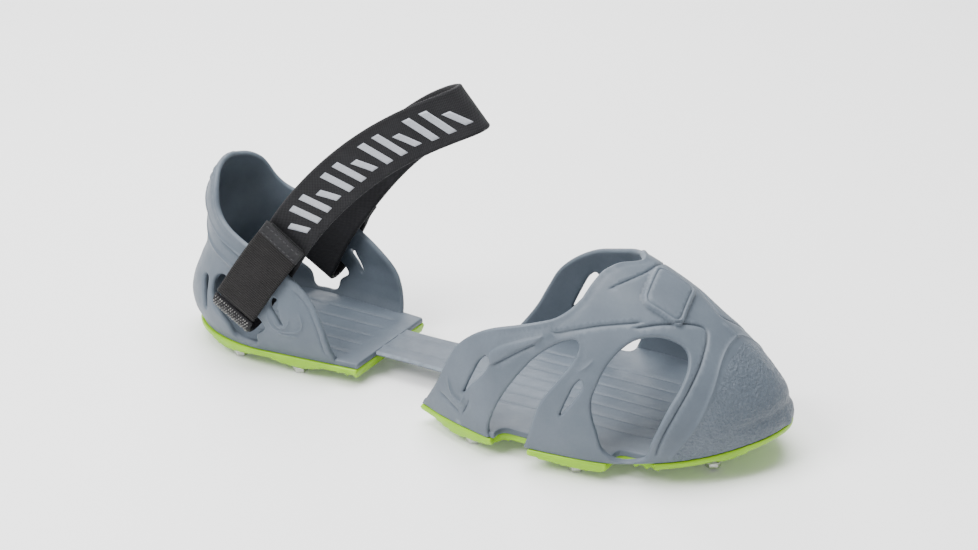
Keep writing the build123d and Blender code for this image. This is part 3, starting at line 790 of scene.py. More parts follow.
def fore_plan(extra, depth_extra):
    """Forefoot plate's outline with the bites under the windows."""
    stations = np.array([-13.0 - extra, 5, 30, 55, 75, 91, 106, 117, 123.5])
    half = through(HALF_WIDTHS, stations) * (1 - base_tuck(stations)) + extra
    centre = through(CENTRES, stations)
    nose = [(127.0 + extra, 2.4)]
    lateral = list(zip(stations, centre - half))
    medial = list(zip(stations, centre + half))
    rim = curve(lateral + nose + medial[::-1])
    tip = int(np.argmax(rim[:, 0]))
    sides = [rim[:tip + 1], rim[tip:][::-1]]
    out = []
    for side, outward in zip(sides, (-1, 1)):
        path = []
        for start, end, depth in ((27, 41, 7.0), (75, 90, 5.0)):
            a, b, deep = start - depth_extra, end + depth_extra, depth + depth_extra
            edge_y = lambda x: np.interp(x, side[:, 0], side[:, 1])
            y_in = edge_y((start + end) / 2) - outward * deep
            corner = [(0.0, 2.6), (0.8, 0.8), (2.6, 0.0)]
            bay = [(a, edge_y(a))] + [(a + along, y_in + outward * up) for along, up in corner]
            bay += [(b - along, y_in + outward * up) for along, up in corner[::-1]] + [(b, edge_y(b))]
            path.append((a, b, bay))
        line = [(x, y) for x, y in side if not any(a <= x <= b for a, b, _ in path)]
        for a, b, bay in path:
            at = [i for i, q in enumerate(line) if q[0] < a][-1] + 1
            line = line[:at] + bay + line[at:]
        out.append(np.array(line))
    t = np.linspace(-1, 1, 40)
    y0, y1 = out[1][0, 1], out[0][0, 1]
    rear_x = -4.0 - (9.0 + extra) * t ** 2
    rear = np.column_stack([rear_x, (y0 + y1) / 2 + t * (y1 - y0) / 2])[1:-1]
    return closed_outline(np.vstack([out[0], out[1][::-1], rear]), 0.8)


def heel_plan(inset):
    """Heel plate's outline at the footbed's height."""
    turns = np.linspace(-1 - HEEL_PLATE_REACH, 1 + HEEL_PLATE_REACH, 320)
    return resample(cup.point(turns, np.zeros(len(turns)), inset)[:, :2], 0.8, True)


FORE_STUDS = {"rear": (13, 40.5, 0.0), "middle": (59, 41.5, 0.0), "toe": (105, 17, 1.6)}
HEEL_STUDS = {"rear": (-113, 24, 0.0), "front": (-82, 24.5, 0.0)}
POD_SIZES = {"rear": (34, 18), "middle": (36, 18), "toe": (28, 18), "heel": (27, 16)}
STUD_TIP, POD_BOTTOM, STUD_AF = -11.0, -8.0, 5.6
TERRACES = 4
TERRACE_SHARES = [1 - 0.6 * k / (TERRACES - 1) for k in range(TERRACES)]
TERRACE_DEPTH = (-PLATE - TREAD - POD_BOTTOM) / TERRACES
SAW_DEPTH, SAW_PITCH = 0.22, 3.1
RIB_OFFSETS = (-1.35, -0.45, 0.45, 1.35)
RIB_DEPTH, BLOCK_DEPTH = 1.5, 2.3


def stud_sites(sites):
    """Name, place and lift of each stud, on the outer and then the inner side."""
    found = []
    for name, (x, reach, lift) in sites.items():
        centre = float(through(CENTRES, x)) if x > -30 else HEEL_CENTRE[1]
        found.append((name + "_outer", x, centre - reach, lift))
        found.append((name + "_inner", x, centre + reach, lift))
    return found


def capsule(points, x, y, length, width):
    """Signed distance inside a slot shape that lies along X."""
    half = (length - width) / 2
    dx = points[:, 0] - x
    dx = dx - np.clip(dx, -half, half)
    dy = points[:, 1] - y
    return width / 2 - np.hypot(dx, dy)


def tread_slab(name, outline, pods, ribs, blocks, body, node, mats, rise):
    """Lime plate: flat lip above, terraced pods, cross ribs and blocks below."""
    features = []
    t = np.radians(np.linspace(-90, 90, 24))
    for x, y, length, width in pods:
        for share in TERRACE_SHARES:
            half, r = (length - width) / 2 * share, width / 2 * share
            right = np.column_stack([half + r * np.cos(t), r * np.sin(t)])
            ring = np.vstack([right, -right, right[:1]]) + (x, y)
            features.append((resample(ring, 0.8, False), (-0.42, -0.14, 0.14, 0.42)))
    for low_x, high_x, y0, y1, pitch in ribs:
        for x in np.arange(low_x, high_x + 0.01, pitch):
            line = np.column_stack([np.full(60, x), np.linspace(y0, y1, 60)])
            features.append((resample(line, 1.0, False), RIB_OFFSETS))
    for x, y, hx, hy in blocks:
        ring = rounded_box((x, y), (hx, hy), 1.4, 0.0)
        features.append((np.vstack([ring, ring[:1]]), (-0.3, 0.3)))

    def depth_at(p):
        depth = np.zeros(len(p))
        cover = np.zeros(len(p))
        for x, y, length, width in pods:
            saw = SAW_DEPTH * np.sin((p[:, 0] - x) * 2 * pi / SAW_PITCH) * (np.abs(p[:, 1] - y) > width * 0.2)
            for share in TERRACE_SHARES:
                within = capsule(p, x, y, length * share, width * share) + saw
                depth += TERRACE_DEPTH * smooth(within / 0.6 + 0.5)
            cover = np.maximum(cover, smooth((capsule(p, x, y, length, width) + saw) / 2.0 + 1.0))
        rib = np.zeros(len(p))
        for low_x, high_x, y0, y1, pitch in ribs:
            phase = (p[:, 0] - low_x) / pitch
            wave = np.clip(RIB_OFFSETS[-1] - np.abs(phase - np.round(phase)) * pitch, 0, 1.0)
            zone = smooth((p[:, 0] - low_x + 1.8) / 0.6) * smooth((high_x + 1.8 - p[:, 0]) / 0.6)
            zone = zone * smooth((p[:, 1] - y0) / 1.2) * smooth((y1 - p[:, 1]) / 1.2)
            rib = np.maximum(rib, RIB_DEPTH * wave * zone)
        block = np.zeros(len(p))
        for x, y, hx, hy in blocks:
            sx = hx - np.abs(p[:, 0] - x)
            sy = hy - np.abs(p[:, 1] - y)
            block = np.maximum(block, BLOCK_DEPTH * smooth(np.minimum(sx, sy) / 0.7 + 0.4))
        return np.maximum(np.maximum(depth, rib * (1 - cover)), block)

    def lift_faces(points, distance, radius):
        h = dome(distance, radius)
        middle = rise(points[:, 0]) - PLATE - TREAD / 2
        return (np.column_stack([points, middle + (TREAD / 2 - 0.03) * h]),
                np.column_stack([points, middle - (TREAD / 2 + depth_at(points)) * h]))

    verts, faces = slab([outline], lambda q: np.full(len(q), 0.65), features, 1.5, lift_faces)
    piece(name, verts, faces, body, mats, (node,))


def footbed_slab(name, outline, rise, body, mats, grooves):
    """Footbed plate with lengthwise grooves on top."""
    marks = [Mark([line], -0.45, 0.7, taper=3) for line in grooves]
    features = [row for mark in marks for row in mark.rows()]

    def lift_faces(points, distance, radius):
        h = dome(distance, radius)
        relief = sum(mark.relief(points) for mark in marks)
        middle = rise(points[:, 0]) - PLATE / 2
        return (np.column_stack([points, middle + (PLATE / 2) * h + relief * h]),
                np.column_stack([points, middle - (PLATE / 2 - 0.01) * h]))

    verts, faces = slab([outline], lambda q: np.full(len(q), 0.5), features, 1.8, lift_faces)
    piece(name, verts, faces, body, mats)


FORE_BLOCKS = [(91.5, y, 3.4, 3.2) for y in (-31.5, 27.5)]
FORE_BLOCKS += [(x, y, half, 2.6) for x, half in ((46, 5), (62, 5), (24, 4)) for y in (-12, 4)]
FORE_BLOCKS += [(76, -4, 3, 6)]
FORE_RIBS = [(31.5, 41.5, -44, 37, 4.6), (82.0, 92.0, -40, 36, 4.6), (-3, 9.5, -22, 14, 4.6)]
HEEL_BLOCKS = [(-98, -3, 4, 8), (-82, -3, 4, 6), (-114, -3, 4, 6)]
HEEL_RIBS = [(-66.0, -52.6, -30, 24, 4.4), (-136, -126, -15, 9, 4.4)]


def build_plates(rubber, lime):
    xs = np.linspace(4, 112, 80)
    grooves = [np.column_stack([xs, np.full(80, -3.0 + dy) + np.sin(np.linspace(0, 3, 80))])
               for dy in (-24, -16, -8, 0, 8, 16, 24)]
    grooves = [g[np.abs(g[:, 1] + 3) < through(HALF_WIDTHS, g[:, 0]) * 0.78] for g in grooves]
    footbed_slab("forefoot_footbed", fore_plan(-0.4, 0.0), spring, "forefoot", [rubber], grooves)
    grooves = [np.column_stack([np.linspace(-136 + abs(dy) * 0.5, -60, 50), np.full(50, -3.0 + dy)])
               for dy in (-18, -9, 0, 9, 18)]
    footbed_slab("heel_footbed", heel_plan(0.4), np.zeros_like, "heel", [rubber], grooves)
    pods = [(x, y, *POD_SIZES[name.split("_")[0]]) for name, x, y, _ in stud_sites(FORE_STUDS)]
    tread_slab("forefoot_tread_plate", fore_plan(0.6, 1.0), pods, FORE_RIBS, FORE_BLOCKS, "forefoot",
               "forefoot_tread", [lime], spring)
    pods = [(x, y, *POD_SIZES["heel"]) for _, x, y, _ in stud_sites(HEEL_STUDS)]
    tread_slab("heel_tread_plate", heel_plan(-0.6), pods, HEEL_RIBS, HEEL_BLOCKS, "heel", "heel_tread",
               [lime], np.zeros_like)


BAND_ENDS, BAND_MIDDLE, BAND_Y = (-70, -2), -38, -2
BAND_HALF_WIDTH, BAND_WAIST, BAND_WAIST_RUN = 14.0, 1.6, 32
BAND_RIB_Y, BAND_RIB_WIDTH, BAND_RIB_HEIGHT = 6, 1.1, 0.35
BAND_CROSS_PITCH, BAND_CROSS_HEIGHT, BAND_CROSS_RUN = 5.0, 0.22, 16


def build_bridge(mat):
    """Band under the arch, waisted, with two lengthwise ribs above and cross ribs below.
    """
    xs = np.linspace(*BAND_ENDS, 92)
    vs = np.linspace(-1, 1, 41)
    top, low = [], []
    for x in xs:
        along = x - BAND_MIDDLE
        t = along / BAND_WAIST_RUN
        half = BAND_HALF_WIDTH - BAND_WAIST * (1 - min(t * t, 1))
        for v in vs:
            y = v * half
            edge = sqrt(max(1 - max(abs(v) - 0.94, 0) ** 2 / 0.0036, 0))
            ribs = [exp(-((y - side * BAND_RIB_Y) / BAND_RIB_WIDTH) ** 2) for side in (1, -1)]
            rib = BAND_RIB_HEIGHT * (ribs[0] + ribs[1])
            cross = BAND_CROSS_HEIGHT * max(cos(along * 2 * pi / BAND_CROSS_PITCH), 0)
            cross *= abs(v) < 0.86 and abs(along) < BAND_CROSS_RUN
            top.append((x, BAND_Y + y, -PLATE / 2 + (PLATE / 2 - 0.35 + rib) * edge))
            low.append((x, BAND_Y + y, -PLATE / 2 - (PLATE / 2 - 0.25 + cross) * edge))
    shape = (len(xs), len(vs), 3)
    verts, faces = grid_solid(np.reshape(top, shape), np.reshape(low, shape))
    obj = piece("arch_band", verts, faces, None, [mat])
    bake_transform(obj)


# ---- webbing ----
ANCHOR, CREST, PULL = (-107.0, 16.0), (-12.5, 111.5), (-85.4, 53.4)
STRAP_WIDTH, STRAP_THICKNESS = 21.0, 1.8
FOLD_R, FOLD_END, TAB_START = 5.1, 1.8, 3.0
TAB_SPANS = [(16, 36.4), (28, 34.0), (40, 30.4), (47, 27.9), (51, 27.5)]
RETURN_SPANS = [(16, 36.4), (28, 34.0), (40, 30.2), (47, 26.7), (51, 26.3)]
TAB_END_Z, RETURN_END_Z, PATCH_START_Z, PATCH_WIDTH = 48.5, 51.0, 42.0, 18.0
LOOP_THICKNESS, TAB_RIB_PITCH, PATCH_JITTER = 0.7, 0.9, 0.12
STRAP_TILT = 30


def strap_across(h):
    """Half distance between the two sides of the strap at share h of its height."""
    return 26.2 * np.maximum(1 - h ** 2, 0) ** 0.40 - 3.0 * np.exp(-((h - 0.21) / 0.13) ** 2)


def strap_station(h, across, side):
    """Middle points and generator directions of the webbing on one side of the foot."""
    h = np.atleast_1d(np.asarray(h, float))
    across = np.broadcast_to(across, h.shape)
    z = ANCHOR[1] + (CREST[1] - ANCHOR[1]) * h
    first, second = 2 * (PULL[1] - ANCHOR[1]), ANCHOR[1] - 2 * PULL[1] + CREST[1]
    s = (-first + np.sqrt(first ** 2 + 4 * second * (z - ANCHOR[1]))) / (2 * second)
    x = ANCHOR[0] * (1 - s) ** 2 + 2 * PULL[0] * s * (1 - s) + CREST[0] * s ** 2
    bulge = 6.8 * 6.75 * h ** 2 * (1 - h)
    tilt = np.radians(STRAP_TILT + 18 * h)
    gen = np.column_stack([np.cos(tilt), -side * 0.4 * h * (1 - h) * np.cos(tilt), -np.sin(tilt)])
    gen /= np.linalg.norm(gen, axis=1)[:, None]
    return np.column_stack([x - 0.7 * bulge, HEEL_CENTRE[1] + side * across, z + 0.7 * bulge]), gen


FOLD_UP = np.array([sin(radians(STRAP_TILT)), 0, cos(radians(STRAP_TILT))])


def fold_station(turn, side):
    """Stations round the lower fold; turn is in degrees from the standing run."""
    turn = np.radians(np.atleast_1d(np.asarray(turn, float)))
    start, gen = strap_station(0.0, 26.2, side)
    shift = np.outer(FOLD_R - FOLD_R * np.cos(turn), [0, side, 0]) - np.outer(FOLD_R * np.sin(turn), FOLD_UP)
    return start + shift, np.repeat(gen, len(turn), 0)


def fold_end_station(side, rise):
    """Stations that rise straight from the fold's free end."""
    centre, gen = fold_station(180, side)
    rise = np.atleast_1d(np.asarray(rise, float))
    return centre + np.outer(rise, FOLD_UP), np.repeat(gen, len(rise), 0)


def height_share(z):
    return (z - ANCHOR[1]) / (CREST[1] - ANCHOR[1])


def path_at(path, at):
    """Centre, generator and normal of a path at a run length."""
    return [np.array([np.interp(at, path[3], line[:, k]) for k in range(3)]) for line in path[:3]]


def even_path(centres, gens, step):
    """The stations spread evenly, with unit normals and the run length."""
    keep = np.concatenate([[True], np.linalg.norm(np.diff(centres, axis=0), axis=1) > 1e-4])
    centres, gens = centres[keep], gens[keep]
    s = np.concatenate([[0], np.cumsum(np.linalg.norm(np.diff(centres, axis=0), axis=1))])
    n = max(int(round(s[-1] / step)), 4)
    t = np.linspace(0, s[-1], n + 1)
    c = np.column_stack([np.interp(t, s, centres[:, k]) for k in range(3)])
    g = np.column_stack([np.interp(t, s, gens[:, k]) for k in range(3)])
    for _ in range(2):
        c[1:-1] = 0.25 * c[:-2] + 0.5 * c[1:-1] + 0.25 * c[2:]
    g /= np.linalg.norm(g, axis=1)[:, None]
    tangent = np.gradient(c, axis=0)
    normal = np.cross(g, tangent)
    normal /= np.linalg.norm(normal, axis=1)[:, None]
    return c, g, normal, t


def grid_solid(top, low):
    """Closed mesh between two grids of points; top lies on the side of row x column."""
    rows, cols = top.shape[:2]
    count = rows * cols
    verts = np.vstack([top.reshape(-1, 3), low.reshape(-1, 3)])
    index = np.arange(count).reshape(rows, cols)
    a, b, c, d = index[:-1, :-1], index[1:, :-1], index[1:, 1:], index[:-1, 1:]
    faces = [np.stack([a, b, c, d], -1).reshape(-1, 4),
             np.stack([d, c, b, a], -1).reshape(-1, 4) + count]
    for line, flip in ((index[:, 0], False), (index[:, -1], True), (index[0], True), (index[-1], False)):
        p, q = line[:-1], line[1:]
        quad = np.stack([p, p + count, q + count, q], -1)
        faces.append(quad[:, ::-1] if flip else quad)
    return verts, np.vstack(faces)


def ribbon(name, path, width, thickness, body, mats, nodes=(), columns=27, out_relief=None, in_relief=None,
           offset=0.0, choose=None, edge=0.9):
    """Webbing mesh along a path. The relief functions take (run, across) and add to each face."""
    c, g, normal, s = path
    v = np.linspace(-1, 1, columns)
    v = np.sign(v) * (1 - (1 - np.abs(v)) ** 1.25) * width / 2
    sv, vv = np.meshgrid(s, v, indexing="ij")
    near_side = width / 2 - np.abs(vv)
    near_end = np.minimum(sv, s[-1] - sv)
    half = thickness / 2 * np.maximum(dome(near_side, edge), 0.16) * np.maximum(dome(near_end, 0.6), 0.2)
    up = half + (out_relief(sv, vv) if out_relief else 0)
    down = half + (in_relief(sv, vv) if in_relief else 0)
    middle = c[:, None] + g[:, None] * vv[..., None] + normal[:, None] * offset
    plus = middle + normal[:, None] * up[..., None]
    minus = middle - normal[:, None] * down[..., None]
    verts, faces = grid_solid(minus, plus)
    obj = piece(name, verts, faces, body, mats, nodes, choose=choose)
    attribute = obj.data.attributes.new("run", "FLOAT_VECTOR", "POINT")
    run = np.column_stack([sv.ravel(), vv.ravel(), np.zeros(sv.size)])
    attribute.data.foreach_set("vector", np.vstack([run, run]).ravel())
    return obj


def selvedge(sv, vv, height=0.1):
    """Raised line just inside each edge of the webbing."""
    return height * np.exp(-((STRAP_WIDTH / 2 - np.abs(vv) - 1.1) / 0.5) ** 2)


def strap_path():
    lateral_end = fold_end_station(-1, np.linspace(FOLD_END, 0, 6))
    lateral_fold = fold_station(np.arange(180, -0.1, -4), -1)
    climb = np.sin(np.radians(np.arange(1, 90, 0.75)))
    up = strap_station(climb, strap_across(climb), -1)
    crest = strap_station(1.0, 0.0, -1)
    down = strap_station(climb[::-1], strap_across(climb[::-1]), 1)
    medial_fold = fold_station(np.arange(0, 180.1, 4), 1)
    medial_end = fold_end_station(1, np.linspace(0, FOLD_END, 6))
    parts = (lateral_end, lateral_fold, up, crest, down, medial_fold, medial_end)
    return even_path(np.vstack([p[0] for p in parts]), np.vstack([p[1] for p in parts]), 0.7)


def run_path(side, spans, end_z, start_rise, step):
    """Path of a webbing end that climbs beside the main run."""
    root = fold_end_station(side, np.linspace(start_rise, start_rise + 0.6, 3))
    z = np.linspace(root[0][0][2] + 4.0, end_z, 60)
    run = strap_station(height_share(z), through(spans, z), side)
    return even_path(np.vstack([root[0], run[0]]), np.vstack([root[1], run[1]]), step)


def tube_faces(rings, sides, base=0):
    """Faces of a closed tube whose rings of points are numbered in order, with flat ends."""
    faces = []
    for i in range(rings - 1):
        a, b = base + i * sides, base + (i + 1) * sides
        for k in range(sides):
            m = (k + 1) % sides
            faces.append((a + k, a + m, b + m, b + k))
    last = base + (rings - 1) * sides
    return faces + [tuple(range(base, base + sides))[::-1], tuple(range(last, last + sides))]


# share of the radius and of the height at each level of a hook
DOT_LEVELS = ((1.0, -0.1), (0.72, 0.45), (0.95, 0.72), (0.6, 1.0))
DOT_SIDES = 6


def dots(name, centres, normals, radius, height, body, mat, nodes=(), lean=None):
    """Many small hooks as one mesh; lean moves each tip."""
    verts, faces = [], []
    for i, (p, n) in enumerate(zip(centres, normals)):
        a = np.cross(n, [0.3, 0.2, 0.93])
        a /= np.linalg.norm(a)
        b = np.cross(n, a)
        tip = lean[i] if lean is not None else np.zeros(3)
        faces += tube_faces(len(DOT_LEVELS), DOT_SIDES, len(verts))
        for r, up in DOT_LEVELS:
            for k in range(DOT_SIDES):
                t = 2 * pi * k / DOT_SIDES
                verts.append(p + n * (height * up) + (a * cos(t) + b * sin(t)) * radius * r + tip * up * up)
    piece(name, verts, faces, body, [mat], nodes)


def patch_on(path, s0, s1, width, lift, pitch):
    """Points and normals on a rectangle of the webbing's face, each moved a little at random."""
    out_c, out_n = [], []
    for i, at in enumerate(np.arange(s0, s1, pitch)):
        c, g, n = path_at(path, at)
        n /= np.linalg.norm(n)
        for v in np.arange(-width / 2 + (i % 2) * pitch / 2, width / 2 + 0.01, pitch):
            w = v + rng.uniform(-PATCH_JITTER, PATCH_JITTER) * pitch
            out_c.append(c + g * w + n * lift)
            out_n.append(n * (1 if lift > 0 else -1))
    return np.array(out_c), np.array(out_n)


STRAND_RINGS, STRAND_SIDES, STRAND_TWIST = 7, 6, 0.35
STRAND_RADIUS, STRAND_SINK, STRAND_ARCH = 0.24, 0.12, 0.34


def stitches(name, path, s_places, width, face, body, mat, nodes=(), length=1.7, pitch=2.2, zigzag=0.0):
    """Sewn thread: short raised strands across the webbing; face is +1 or -1 of its normal."""
    verts, faces = [], []
    count = int(width / pitch)
    for at in s_places:
        for i in range(count):
            v = -width / 2 + (i + 0.5) * width / count
            slope = zigzag * (1 if i % 2 else -1)
            faces += tube_faces(STRAND_RINGS, STRAND_SIDES, len(verts))
            for j in range(STRAND_RINGS):
                f = j / (STRAND_RINGS - 1) - 0.5
                c, g, n = path_at(path, at + slope * f * 2)
                n = n * face
                across = np.cross(n, g)
                arch = sqrt(max(1 - (2 * f) ** 2, 0))
                height = STRAP_THICKNESS / 2 - STRAND_SINK + STRAND_ARCH * arch
                r = STRAND_RADIUS * (0.55 + 0.45 * arch)
                for k in range(STRAND_SIDES):
                    t = 2 * pi * k / STRAND_SIDES + j * STRAND_TWIST
                    verts.append(c + g * (v + f * length) + n * (height + r * sin(t)) + across * r * cos(t))
    piece(name, verts, faces, body, [mat], nodes)


# printed bars: pitch, size along and across the webbing, slant, and the size of every third bar
BAR_PITCH, BAR_LENGTH, BAR_WIDTH, BAR_SLANT, SHORT_BAR = 7.4, 3.4, 12.4, 5.2, 0.62
BAR_GRID = (5, 13)


def printed_bars(path, s_start, count, mat):
    """Plain slanted bars printed on the webbing, as thin raised pads."""
    rows, cols = BAR_GRID
    verts, faces = [], []
    for i in range(count):
        size = 1.0 if i % 3 else SHORT_BAR
        top, low = np.zeros((rows, cols, 3)), np.zeros((rows, cols, 3))
        for a in range(rows):
            for b in range(cols):
                fv = b / (cols - 1) - 0.5
                fs = a / (rows - 1) - 0.5
                v = fv * BAR_WIDTH * size + (1 - size) * 4.0
                edge = min(a, rows - 1 - a, b, cols - 1 - b) > 0
                c, g, n = path_at(path, s_start + i * BAR_PITCH + fs * BAR_LENGTH + fv * BAR_SLANT)
                top[a, b] = c + g * v + n * (STRAP_THICKNESS / 2 - 0.08)
                low[a, b] = c + g * v + n * (STRAP_THICKNESS / 2 + 0.04 + 0.07 * edge)
        v_new, f_new = grid_solid(top, low)
        faces.append(f_new + sum(len(x) for x in verts))
        verts.append(v_new)
    piece("printed_bars", np.vstack(verts), np.vstack(faces), "strap", [mat])


def build_strap(mat):
    path = strap_path()
    ribbon("strap_webbing", path, STRAP_WIDTH, STRAP_THICKNESS, "strap", [mat["webbing"]],
           ("instep_strap",), 31, selvedge, selvedge)
    printed_bars(path, 66.0, 13, mat["print"])
    # hooks on the outside of the fold
    centres, normals = patch_on(path, 0.7, 15.6, STRAP_WIDTH - 2.4, -(STRAP_THICKNESS / 2 - 0.02), 1.2)
    lean = np.array([[rng.uniform(-0.1, 0.1), 0.0, -0.18] for _ in centres])
    dots("fold_hooks", centres, normals, 0.3, 0.5, "strap", mat["hook"], lean=lean)
    build_loop_pad(mat)
    build_tab(mat)
    # sewn return on the inner side
    back_path = run_path(1, RETURN_SPANS, RETURN_END_Z, FOLD_END, 0.6)
    ribbon("return_webbing", back_path, STRAP_WIDTH, STRAP_THICKNESS, "strap", [mat["webbing"]],
           ("sewn_return",), 31, selvedge, selvedge)
    end = back_path[3][-1]
    stitches("box_stitches", back_path, [end - 6.6, end - 2.6], 18.0, -1, "strap", mat["thread"],
             ("bar_tack_1", "bar_tack_2"), pitch=1.5, zigzag=0.5, length=1.2)


def build_loop_pad(mat):
    """Loop patch on the strap under the tab: a felted pad with a fuzzy face."""
    z = np.linspace(PATCH_START_Z, TAB_END_Z - 0.6, 30)
    path = even_path(*strap_station(height_share(z), strap_across(height_share(z)), -1), 0.45)

    def fuzz(sv, vv):
        return (0.07 * np.sin(sv * 7.3 + 2.1 * np.sin(vv * 3.7))
                * np.sin(vv * 6.1 + 1.7 * np.sin(sv * 4.3)))

    pad = ribbon("loop_pad", path, PATCH_WIDTH, LOOP_THICKNESS, "strap", [mat["loop"]], ("loop_patch",), 43,
                 fuzz, None, (STRAP_THICKNESS + LOOP_THICKNESS) / 2 + 0.05, edge=0.5)


def build_tab(mat):
    """Free tab with crosswise ribs, a sewn hem and its hooks."""
    path = run_path(-1, TAB_SPANS, TAB_END_Z, TAB_START, 0.2)
    length = path[3][-1]

    def hem(sv):
        return smooth((sv - (length - 6.2)) / 0.5)

    def ribs(sv, vv):
        rib = 0.045 * np.sin(sv * 2 * pi / TAB_RIB_PITCH) * (1 - hem(sv))
        return rib * smooth((10.3 - np.abs(vv)) / 0.6) + 0.16 * hem(sv) + selvedge(sv, vv, 0.06)

    hem_point = path[0][int(np.searchsorted(path[3], length - 6.0))]
    hem_direction = path[0][-1] - hem_point
    ribbon("strap_tab_webbing", path, STRAP_WIDTH, STRAP_THICKNESS - 0.1, "tab", [mat["ribbed"], mat["hem"]],
           ("strap_tab",), 41, ribs, lambda sv, vv: 0.02 * np.sin(sv * 2 * pi / TAB_RIB_PITCH),
           choose=lambda q: (q - hem_point) @ hem_direction > 0)
    stitches("tab_hem_stitches", path, [length - 5.2, length - 1.4], 18.6, 1, "tab", mat["thread"])
    centres, normals = patch_on(path, length - 6.8, length - 0.9, PATCH_WIDTH - 1.0,
                                -(STRAP_THICKNESS / 2 - 0.05), 0.95)
    dots("tab_hooks", centres, normals, 0.2, 0.78, "tab", mat["hook"], ("hook_patch",))


# ---- studs ----
GROOVE_CREST, GROOVE_ROOT, GROOVE_RUN, GROOVE_PITCH = 1.58, 1.42, 0.18, 0.42


def stud_mesh(x, y, lift):
    """Hex head with a flange, a recess and a hard pin, and a grooved shank."""
    count = 48
    theta = np.arange(count) * 2 * pi / count
    hexagon = STUD_AF / 2 / np.cos((theta + pi / 6) % (pi / 3) - pi / 6)
    hexagon = np.minimum(hexagon, STUD_AF / 2 * 1.13)
    circle = np.ones(count)
    # (shape, scale, height over the tip) of the hard pin in its recess, the head, the flange and the neck
    profile = [(circle, 0.5, 0.05), (circle, 0.66, 0.14), (circle, 0.7, 0.72), (circle, 0.82, 0.8),
               (circle, 1.24, 0.8), (circle, 1.32, 0.7), (circle, 1.34, 0.16), (circle, 1.46, 0.03),
               (circle, 1.62, 0.0), (circle, 2.2, 0.0), (hexagon, 0.88, 0.05), (hexagon, 0.96, 0.2),
               (hexagon, 1.0, 0.42), (hexagon, 1.0, 1.2), (hexagon, 1.0, 1.95), (hexagon, 0.97, 2.1),
               (circle, 3.0, 2.14), (circle, 3.2, 2.22), (circle, 3.26, 2.4), (circle, 3.22, 2.72),
               (circle, 3.1, 2.86), (circle, 1.75, 2.95)]
    rings = [(scale * shape, STUD_TIP + height) for shape, scale, height in profile]
    z = POD_BOTTOM
    while z < -PLATE - 0.5:
        rings += [(GROOVE_CREST * circle, z), (GROOVE_ROOT * circle, z + GROOVE_RUN)]
        z += GROOVE_PITCH
    top = -PLATE - 0.22 if lift == 0 else -PLATE + 0.28
    rings += [(1.56 * circle, top - 0.3), (1.3 * circle, top)]
    verts = [np.column_stack([r * np.cos(theta), r * np.sin(theta), np.full(count, h)]) for r, h in rings]
    verts = np.vstack(verts + [np.array([[0, 0, STUD_TIP + 0.05], [0, 0, top]])])
    verts += np.array([x, y, lift])
    faces = tube_faces(len(rings), count)[:-2]
    last = (len(rings) - 1) * count
    tip, end = last + count, last + count + 1
    for k in range(count):
        m = (k + 1) % count
        faces.append((tip, m, k))
        faces.append((end, last + k, last + m))
    return verts, faces


def build_studs(steel):
    for prefix, body, sites in (("forefoot", "forefoot", FORE_STUDS), ("heel", "heel", HEEL_STUDS)):
        for name, x, y, lift in stud_sites(sites):
            verts, faces = stud_mesh(x, y, lift)
            obj = piece(prefix + "_spike_" + name, verts, faces, body, [steel],
                        (prefix + "_stud_" + name,))
            obj.data.set_sharp_from_angle(angle=radians(38))


